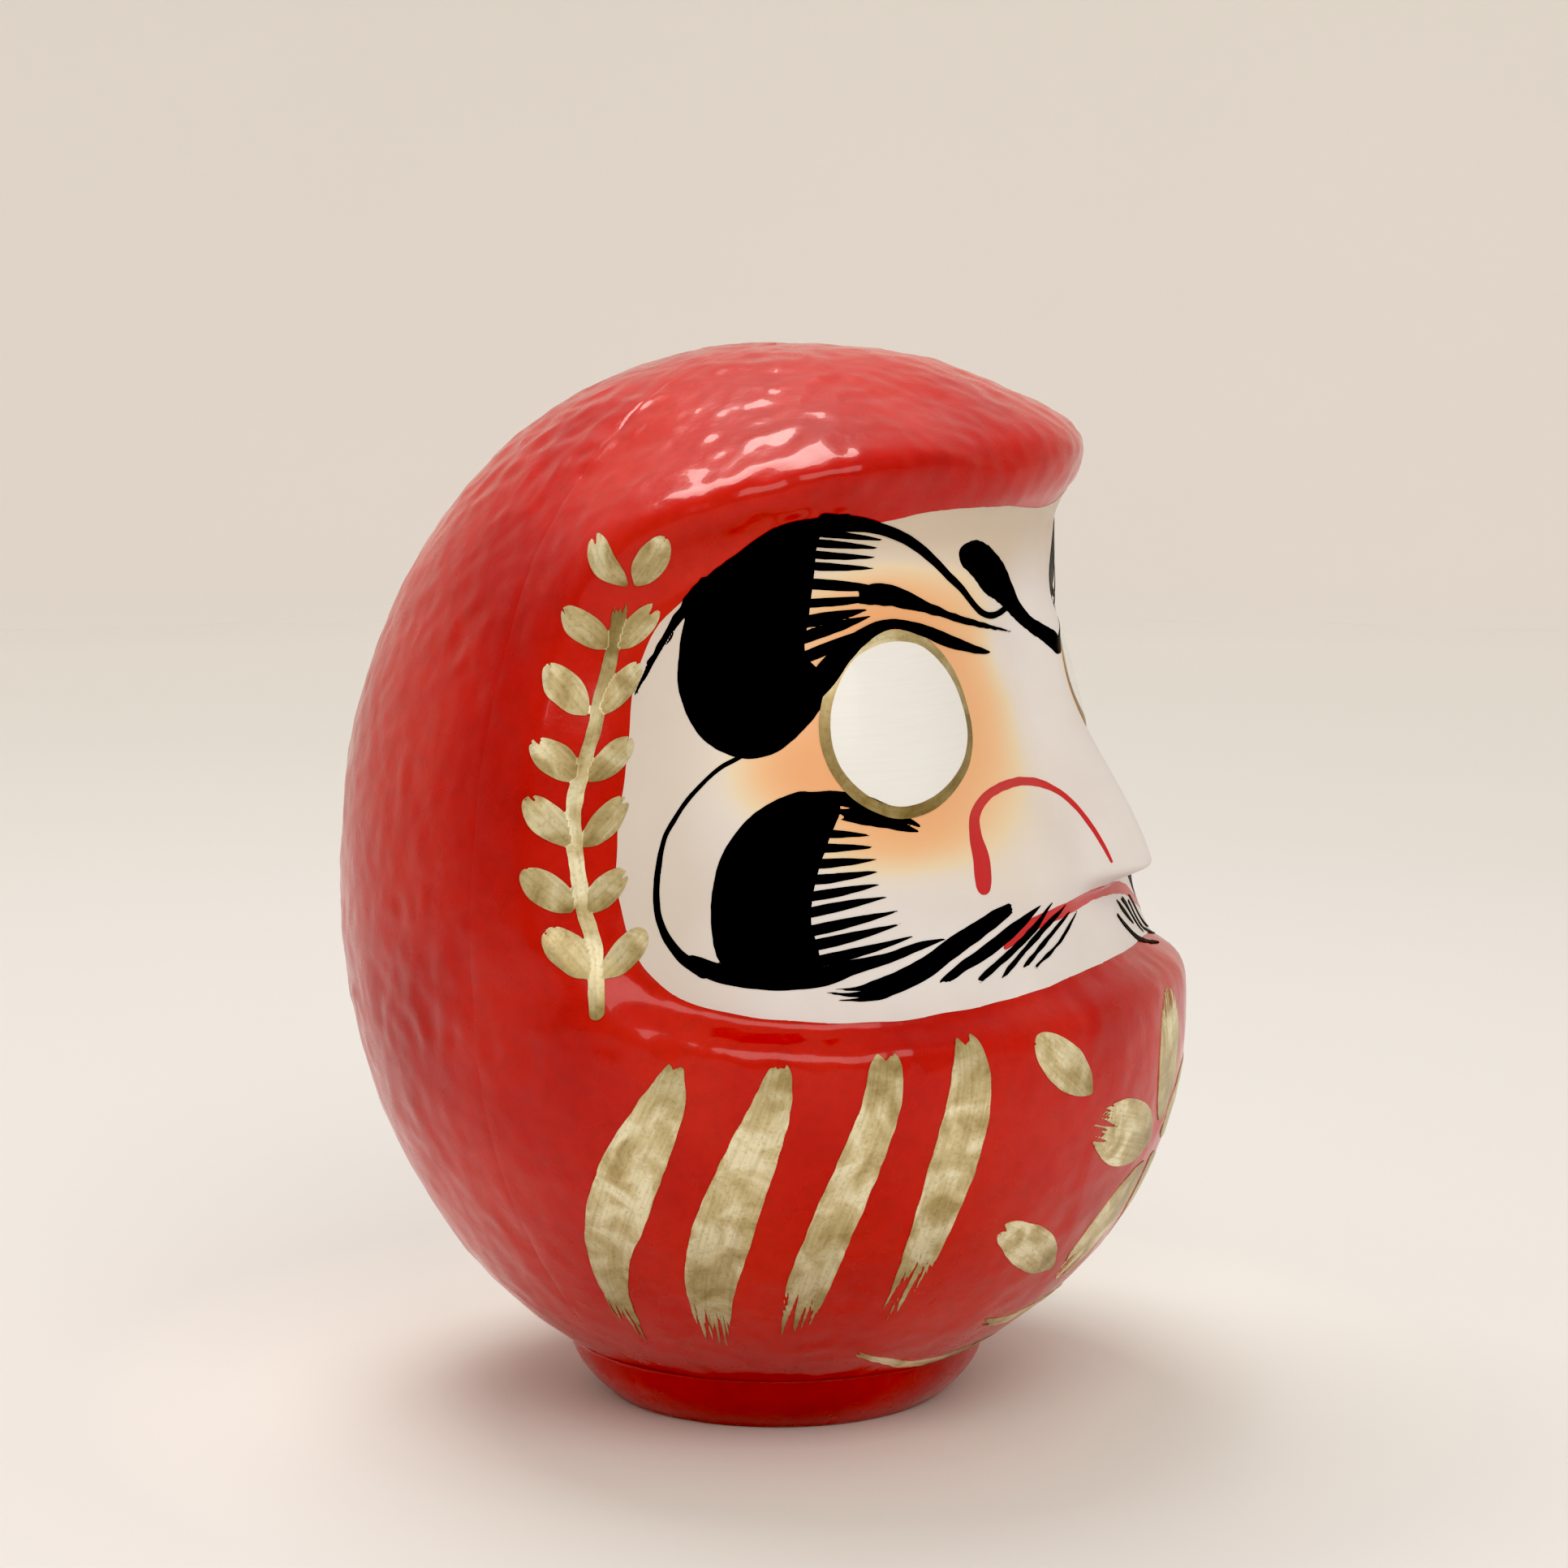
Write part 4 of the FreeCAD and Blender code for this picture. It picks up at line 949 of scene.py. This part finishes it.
NOSTRIL_LINE = [
    (36.9, 161.2, 2.9), (36.7, 163.4, 3.3), (36.4, 168, 3.3), (36.7, 173.5, 2.7), (36.1, 178.6, 2),
    (33, 182.4, 1.4), (28, 184.4, 1.2), (22, 184.9, 1.15), (16.6, 183.6, 1.1), (12.6, 180.8, 1),
    (10.3, 176.4, 0.9), (8.8, 169.4, 0.8), (7.7, 161, 0.5),
]
# Whiskers and moustache of the doll's left side, which the painter set nearer the middle.
LEFT_WHISKERS = [
    [
        (0.1, 146, 0.1), (1.2, 143.4, 0.6), (3.5, 139, 0.9), (6, 135.4, 0.8), (9.6, 133.3, 0.6),
        (15.9, 130.5, 0.2),
    ],
    [(3.3, 147.4, 0.1), (4.6, 144.8, 0.8), (6.4, 141.5, 1), (7.9, 138.8, 0.4)],
    [(5.6, 147.4, 0.8), (8, 144.6, 1), (9.5, 140.6, 0.7), (10.5, 137.2, 0.4), (12.4, 134.4, 0.15)],
    [
        (9, 147, 0.4), (11.2, 143.4, 0.7), (11.9, 139.4, 0.6), (13.4, 135.8, 0.5),
        (17.8, 133.1, 0.5), (24, 130.2, 0.15),
    ],
    [(12, 146.4, 0.4), (14.4, 142, 0.7), (15.6, 138, 0.8), (17.2, 135.6, 0.7), (20.9, 133.3, 0.2)],
]
LEFT_MOUSTACHE = [
    [
        (14, 152.4, 0.8), (17.5, 149, 2.2), (21, 144.6, 2.4), (24.5, 140, 1.8), (28, 136.6, 1),
        (33, 134.6, 0.2),
    ],
    [
        (20, 154.4, 0.8), (25, 150.6, 2.4), (30, 145, 2.4), (35.5, 139, 2.2), (43, 135.6, 2.4),
        (54, 134.4, 1.6),
    ],
]


def hair(root_azimuth, root_height, tip, half_width, bow, seed):
    """Short stroke that stays broad for half its length and then comes to a point."""
    points = []
    for share, width in ((-0.12, 1), (0.0, 1), (0.35, 0.95), (0.7, 0.6), (1.0, 0.05)):
        azimuth = root_azimuth + (tip[0] - root_azimuth) * share
        z = root_height + (tip[1] - root_height) * share + bow * share * (1 - share)
        points.append((azimuth, z, half_width * width))
    return Stroke(points, ragged=0.1, seed=seed)


class Border(Blot):
    """Brushed band just outside a closed curve."""

    def __init__(self, points, gap, width, seed=0):
        super().__init__(points, ragged=0.05, seed=seed)
        self.gap, self.width = gap, width

    def box(self):
        reach = self.gap + self.width + 2
        return self.path.min(0) - reach, self.path.max(0) + reach

    def field(self, x, y):
        inside, lines = super().field(x, y)
        outside = -inside
        centre = self.path.mean(0)
        turn = np.arctan2(y - centre[1], x - centre[0])
        wander = noise_flat(np.cos(turn) * 1.4, np.sin(turn) * 1.4, self.seed)
        width = self.width * (1 + 0.16 * wander)
        cover = np.minimum(outside - self.gap, self.gap + width - outside)
        streaks = noise_flat(outside / 0.9, turn * 2.2, self.seed + 2)
        return cover, np.stack([turn * 25, outside, streaks], -1)


def face_tints(face):
    """Blush and cream shares at the points of the white ground, as attributes; the cream share is
    partly the paint's own cream tint and partly painted shade under the brim and at the outer
    cheeks.
    """
    co = np.empty(len(face.data.vertices) * 3)
    face.data.vertices.foreach_get("co", co)
    x, y, z = co.reshape(-1, 3).T / MM
    side = np.abs(np.degrees(np.arctan2(x, -y)))
    drift = 3 * noise(np.stack([x, y, z], -1), 26, 31)
    eye = np.hypot((side - 48.5) * MM_PER_DEGREE / 28.5, (z - 205) / 22.5)
    inward = ramp((EYE_AZIMUTH - side) / 20)
    ring = bell(np.clip(eye - 1.0, 0, None) * (1.9 - 0.8 * inward + 0.08 * drift))
    hairs = bell(np.hypot((side - 52) / 17, (z - 231) / 13))
    under_brow = bell(np.hypot((side - 65) / 9.5, (z - 195) / 12))
    below = 0.55 * bell(np.hypot((side - 50) / 14, (z - 176) / 9))
    blush = 1 - (1 - 0.85 * ring) * (1 - 0.95 * hairs) * (1 - under_brow) * (1 - below)
    blush *= 1 - 0.85 * ramp((z - 243 + drift) / 12)
    blush *= 0.3 + 0.7 * ramp((side - 9 - 1.5 * drift) / 16)
    # Cream towards the brim: partly the paint's own tint, partly painted shade under the brim.
    cream_and_shade = 0.9 * ramp((z - 228 + 2 * drift) / 22)
    cream_and_shade += 0.35 * bell(np.hypot((side - 38) / 26, (z - 178) / 20))
    # Painted shade at the outer cheeks.
    cream_and_shade += 0.5 * ramp((side - 72 + drift) / 12)
    add_attribute(face, "blush", np.clip(blush, 0, 1))
    add_attribute(face, "cream_and_shade", np.clip(cream_and_shade, 0, 1))


# How far the coats' outer faces stand off the body, in millimetres.
GROUND_LAYER = 0.12
RED_LAYER = 0.22
EYE_LAYER = 0.24
GOLD_LAYER = 0.24
INK_LAYER = 0.26
RIM_LAYER = 0.31
TOP_LAYER = 0.36


def strokes(paths, seed, **brush):
    return [Stroke(path, seed=seed + k, **brush) for k, path in enumerate(paths)]


def hairs(root_azimuth, table, bow, step, phase, seed):
    """Row of hairs from a straight edge, each bowed a little differently."""
    return [
        hair(root_azimuth, root, tip, width, bow * math.sin(step * k + phase), seed + k)
        for k, (root, tip, width) in enumerate(table)
    ]


def build_face():
    ground = [FaceGround()]
    face = paint("face_ground", "face_paint", WHITE_GROUND, ground, GROUND_LAYER, spacing=1.0)
    face_tints(face)
    mouth = [Stroke(MOUTH_LINE, dry_start=2, ragged=0.2, seed=3)]
    paint("mouth_brushed", "mouth_line", RED_INK, mouth, RED_LAYER)
    for side in (-1, 1):
        build_half_face(side)


def build_half_face(side):
    def black(name, *marks, height=INK_LAYER, spacing=0.42):
        paint(name + "_ink", name, BLACK, marks, height, side, spacing)

    paint("eye_white_enamel", "eye_white", EYE_WHITE, [Blot(EYE, 0.08, 5)], EYE_LAYER, side)
    rim = [Border(EYE, -0.1, 3.1, seed=6)]
    paint("eye_rim_gold", "eye_rim", RIM_GOLD, rim, RIM_LAYER, side, 0.42, 0.01)
    tail = Stroke(BROW_TAIL, dry_end=30, ragged=0.7, seed=8, bristle=0.8)
    black("eyebrow", Blot(BROW_MASS, 0.12, 7), tail)
    black("eyebrow_hairs", *hairs(65.5, BROW_HAIRS, 0.6, 2, 0, 10))
    black("brow_curl", Stroke(BROW_CURL, ragged=0.08, seed=21), height=TOP_LAYER)
    black("eyelid_stroke", Stroke(EYELID, ragged=0.12, seed=22), height=TOP_LAYER)
    over_eye = Stroke(BROW_STROKE, dry_start=3.5, ragged=0.25, seed=23)
    black("brow_stroke", over_eye, height=TOP_LAYER)
    squeeze = 1.0 if side < 0 else LEFT_MARK_SQUEEZE
    mark = [(azimuth * squeeze, z) for azimuth, z in FOREHEAD_MARK]
    black("forehead_mark", Blot(mark, 0.22, 24))
    black("cheek_line", Stroke(CHEEK_LINE, ragged=0.12, seed=25))
    beard = [Blot(BEARD_MASS, 0.12, 26), Stroke(BEARD_LOW, ragged=0.15, seed=27)]
    black("beard", *beard, *strokes(BEARD_TOP, 28, dry_start=4, ragged=0.2))
    black("beard_hairs", *hairs(66.5, BEARD_HAIRS, 0.7, 1.3, 1, 30))
    if side < 0:
        moustache = [
            Stroke(MOUSTACHE[0], dry_start=15, dry_end=1.5, ragged=0.2, seed=41, bristle=0.8),
            Stroke(MOUSTACHE[1], dry_start=6, ragged=0.15, seed=42, bristle=1.2),
        ]
    else:
        moustache = strokes(LEFT_MOUSTACHE, 44, dry_end=6, ragged=0.2)
    black("moustache", *moustache)
    whiskers = WHISKERS if side < 0 else LEFT_WHISKERS
    whiskers = strokes(whiskers, 50, dry_start=7, ragged=0.22, bristle=0.8)
    black("whiskers", *whiskers, height=TOP_LAYER, spacing=0.35)
    nostril = [Stroke(NOSTRIL_LINE, ragged=0.15, seed=60)]
    paint("nostril_brushed", "nostril_line", RED_INK, nostril, RED_LAYER, side, 0.42)


# ---- gold work ----
STRIPES = [
    [
        (82, 119.5, 1.4), (82.6, 116, 3), (84.2, 107.5, 5.4), (88.4, 91, 7.6), (92.2, 76, 7.9),
        (95.4, 63, 6.6), (97, 50, 4.8), (97.4, 38, 3.8), (98, 28, 2),
    ],
    [
        (69.4, 119.8, 1.6), (69.8, 116, 3.2), (71, 106, 5), (74.5, 87, 6.9), (78, 68, 8),
        (80.5, 51, 7), (81.5, 30, 4),
    ],
    [
        (56.2, 120.8, 2.4), (56.3, 117, 4.1), (57, 106, 4.9), (60, 87, 5.7), (62.8, 70, 6),
        (65.5, 51, 6), (67.3, 34, 3.5),
    ],
    [
        (45, 123.4, 2), (44.8, 119, 4.2), (44.7, 108, 6), (46.2, 89, 6.7), (47.5, 74, 6),
        (49, 57, 4.9), (50.3, 42, 3),
    ],
]
SWEEP_LINES = [
    [
        (-55, 29.7, 0.5), (-46, 24.5, 1.1), (-36, 20.6, 1.3), (-18, 19.4, 1.4), (0, 20.4, 1.4),
        (18, 19.4, 1.4), (36, 20.6, 1.3), (46, 24.5, 1.1), (55, 29.7, 0.5),
    ],
    [
        (-28, 34.6, 1), (-20, 32.2, 1.5), (-8, 33.4, 1.2), (6, 33.4, 1.4), (18, 31.6, 1.5),
        (28, 34.6, 1),
    ],
]
FLOWER_HEIGHT = 80.0
PETALS = 5
PETAL_REACHES = (8.0, 42.0)
PETAL_HALF_WIDTH = 9.5
# Leaves beside the flower: root and tip.
FLOWER_LEAVES = [((24, 104), (34, 121)), ((19, 50), (36, 68))]
LEAF_HEIGHTS = [243, 226, 209, 192, 175, 158, 141]


def leaf(root, tip, half_width, seed, dry=0.0):
    points = []
    for share, width in ((0, 0.2), (0.25, 0.8), (0.55, 1), (0.85, 0.7), (1, 0.15)):
        azimuth = root[0] + (tip[0] - root[0]) * share
        z = root[1] + (tip[1] - root[1]) * share
        points.append((azimuth, z, half_width * width))
    return Stroke(points, dry_end=dry, ragged=0.3, seed=seed)


def band_middle(z):
    """Azimuth of the middle of the red band between the hood's edge and the white face."""
    return 96.5 - 4.5 * max(z - 215, 0) / 28 - 3.5 * max(160 - z, 0) / 20


def side_ornament():
    """Gold sprig down the band between the hood's edge and the white face."""
    stem = [(band_middle(z) + 0.8 * math.sin(z / 9), z, 1.7) for z in range(132, 247, 9)]
    marks = [Stroke(stem, ragged=0.25, seed=70, dry_end=10)]
    for k, z in enumerate(LEAF_HEIGHTS):
        middle = band_middle(z)
        for way in (-1, 1):
            root = (middle + way * 0.8, z)
            tip = (middle + way * 5.6, z + 12 - 2 * (k % 2))
            marks.append(leaf(root, tip, 3.7, 71 + 2 * k + way, dry=3))
    return marks


def belly_ornament():
    """Open gold flower with leaves on each side, brushed on the front of the belly."""
    marks = []
    for k in range(PETALS):
        turn = math.radians(90 + 360 * k / PETALS)
        root, tip = [
            (reach / MM_PER_DEGREE * math.cos(turn), FLOWER_HEIGHT + reach * math.sin(turn))
            for reach in PETAL_REACHES
        ]
        marks.append(leaf(root, tip, PETAL_HALF_WIDTH, 90 + k, dry=13))
    for side in (-1, 1):
        for k, (root, tip) in enumerate(FLOWER_LEAVES):
            root, tip = (side * root[0], root[1]), (side * tip[0], tip[1])
            marks.append(leaf(root, tip, 6, 96 + k + side, dry=5))
    return marks


def build_gold():
    stripes = strokes(STRIPES, 80, dry_start=2.5, dry_end=28, ragged=0.3, bristle=1.0)
    sprig = side_ornament()
    for side in (-1, 1):
        paint("stripes_gold", "gold_stripes", GOLD, stripes, GOLD_LAYER, side, 0.5, 0.012)
        paint("side_sprig", "side_ornament", GOLD, sprig, INK_LAYER, side, 0.45, 0.01)
    sweeps = strokes(SWEEP_LINES, 88, dry_start=14, dry_end=14, ragged=0.3)
    paint("sweeps_gold", "sweep_lines", GOLD, sweeps, GOLD_LAYER, 0, 0.45, 0.01)
    flower = belly_ornament()
    paint("belly_flower", "belly_ornament", GOLD, flower, GOLD_LAYER, 0, 0.5, 0.012)


def finish_inner_parts():
    finishes = {
        "seam_strip_right": BARE_PAPER, "seam_strip_left": BARE_PAPER, "crown_patch": BARE_PAPER,
        "clay_weight": CLAY, "bottom_paper": BASE_PAPER,
    }
    for name, material in finishes.items():
        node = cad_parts[name]
        node.data.materials.clear()
        node.data.materials.append(material)


# ---- studio ----
VIEW_AZIMUTH = math.radians(-70)
VIEW_PITCH = math.radians(8.8)
VIEW_DISTANCE = 1.322
LENS = 104.35
SENSOR = 36.0
BLACK_POINT = 0.020
AIM_RIGHT = 0.0021
AIM_UP = 0.1730
TENT_FLOOR = 1.9
TENT_BEND = 0.7
TENT_TOP = 1.5
NEAR_WALL_SPREAD = 100
PAPER_NEAR = 0.1
PAPER_FAR = 2.8
# Paper tones by distance, with painted light and shade in them: brighter and a little green right
# beside the doll, cancelling its shadow and red bounce; darker from about 0.2 to 0.9 m, where the
# overhead softbox lights the floor most; paler towards the wall.
PAPER_LIGHT_AND_SHADE_TONES = (
    (0.0, (0.86, 0.88, 0.845)), (0.04, (0.737, 0.730, 0.727)), (0.157, (0.739, 0.729, 0.722)),
    (0.278, (0.776, 0.753, 0.748)), (0.39, (0.803, 0.778, 0.757)), (0.52, (0.805, 0.778, 0.75)),
    (0.76, (0.815, 0.765, 0.728)), (1.0, (0.814, 0.787, 0.74)),
)
# Painted glow: how much light the paper itself gives off at its far edge.
PAPER_PAINTED_GLOW = 0.11


def studio_paper_painted_light():
    """Matt paper whose tone changes gently away from the doll: painted light brightens it right
    beside the doll where its shadow falls, painted shade darkens it out to about a metre where the
    overhead softbox lights it most, and a painted glow brightens the far paper and wall.
    """
    material, shader, add, link = shaded("studio_paper_painted_light")
    place = add("TexCoord").outputs["Object"]
    distance = add("VectorMath", {0: place}, operation="LENGTH").outputs["Value"]
    share = remap(add, distance, 0.0, 1.0, PAPER_NEAR, PAPER_FAR)
    tone = graded(add, share, *PAPER_LIGHT_AND_SHADE_TONES)
    cloud = graded(add, grain(add, 400, 2), (0.3, (0.985, 0.985, 0.985)), (0.7, (1, 1, 1)))
    link(mixed(add, 1.0, tone, cloud, "MULTIPLY"), "Base Color")
    # Painted glow: the paper emits light, more the further it is from the doll.
    shader.inputs["Emission Color"].default_value = (1.0, 0.96, 0.90, 1)
    material.cycles.emission_sampling = "NONE"
    link(remap(add, share, 0.0, PAPER_PAINTED_GLOW, 0.33, 0.61), "Emission Strength")
    shader.inputs["Roughness"].default_value = 0.7
    shine(shader, specular=0.2)
    return material


def tent_part(name, section, first_azimuth, last_azimuth, material):
    """Part of the tent, turned from its (radius, height) section in metres."""
    steps = round((last_azimuth - first_azimuth) / 4)
    azimuths = np.linspace(first_azimuth, last_azimuth, steps + 1)[:, None]
    radii, heights = np.array(section).T / MM
    points = polar(azimuths, radii, heights)
    quads = grid_quads(steps + 1, len(section))[:, ::-1]
    part = new_object(name, points.reshape(-1, 3), [quads], material)
    return part


def build_tent():
    """Pale floor that turns up into a low round wall.

    Like a studio with black flags beside the camera, the near wall is kept out of the
    lacquer's reflections."""
    paper = studio_paper_painted_light()
    turns = np.linspace(0, math.pi / 2, 13)
    bend = [(TENT_FLOOR + TENT_BEND * math.sin(t), TENT_BEND * (1 - math.cos(t))) for t in turns]
    wall = bend + [(TENT_FLOOR + TENT_BEND, TENT_TOP)]
    tent_part("studio_floor", [(0.0001, 0), (0.6, 0), (TENT_FLOOR, 0)], 0, 360, paper)
    near = math.degrees(VIEW_AZIMUTH)
    start, end = near - NEAR_WALL_SPREAD, near + NEAR_WALL_SPREAD
    tent_part("studio_wall_far", wall, end, start + 360, paper)
    near_wall = tent_part("studio_wall_near", wall, start, end, paper)
    near_wall.visible_glossy = False


def soft_light(name, place, target, size, power, colour):
    light = bpy.data.lights.new(name, "AREA")
    light.shape = "RECTANGLE"
    light.size, light.size_y = size
    light.energy = power
    light.color = colour
    obj = bpy.data.objects.new(name, light)
    obj.location = place
    obj.rotation_euler = (Vector(target) - Vector(place)).to_track_quat("-Z", "Y").to_euler()
    bpy.context.scene.collection.objects.link(obj)


# Name, place, height aimed at, size, watts and colour.
SOFTBOXES = (
    ("overhead_softbox", (0.28, 0.38, 1.5), 0.2, (0.85, 0.6), 12, (1.0, 0.96, 0.90)),
    ("front_softbox", (-1.05, -0.8, 1.25), 0.15, (1.2, 1.0), 10, (1.0, 0.96, 0.91)),
)


def build_lights():
    world = bpy.data.worlds.new("studio_air")
    world.use_nodes = True
    sky = world.node_tree.nodes["Background"]
    sky.inputs["Color"].default_value = (1.0, 0.95, 0.88, 1)
    sky.inputs["Strength"].default_value = 0.62
    bpy.context.scene.world = world
    for name, place, aim_height, size, power, colour in SOFTBOXES:
        soft_light(name, place, (0, 0, aim_height), size, power, colour)


def build_camera():
    sine, cosine = math.sin(VIEW_AZIMUTH), math.cos(VIEW_AZIMUTH)
    level = math.cos(VIEW_PITCH)
    back = Vector((sine * level, -cosine * level, math.sin(VIEW_PITCH)))
    right = Vector((cosine, sine, 0))
    up = back.cross(right)
    data = bpy.data.cameras.new("photo_camera")
    data.lens = LENS
    data.sensor_width = SENSOR
    camera = bpy.data.objects.new("photo_camera", data)
    camera.location = back * VIEW_DISTANCE + right * AIM_RIGHT + up * AIM_UP
    camera.rotation_euler = back.to_track_quat("Z", "Y").to_euler()
    bpy.context.scene.collection.objects.link(camera)
    bpy.context.scene.camera = camera
    grading = bpy.context.scene.view_settings
    grading.view_transform = "Standard"
    grading.use_curve_mapping = True
    grading.curve_mapping.black_level = (BLACK_POINT, BLACK_POINT, BLACK_POINT)
    grading.curve_mapping.update()


build_camera()
build_body()
build_face()
build_gold()
finish_inner_parts()
build_tent()
build_lights()
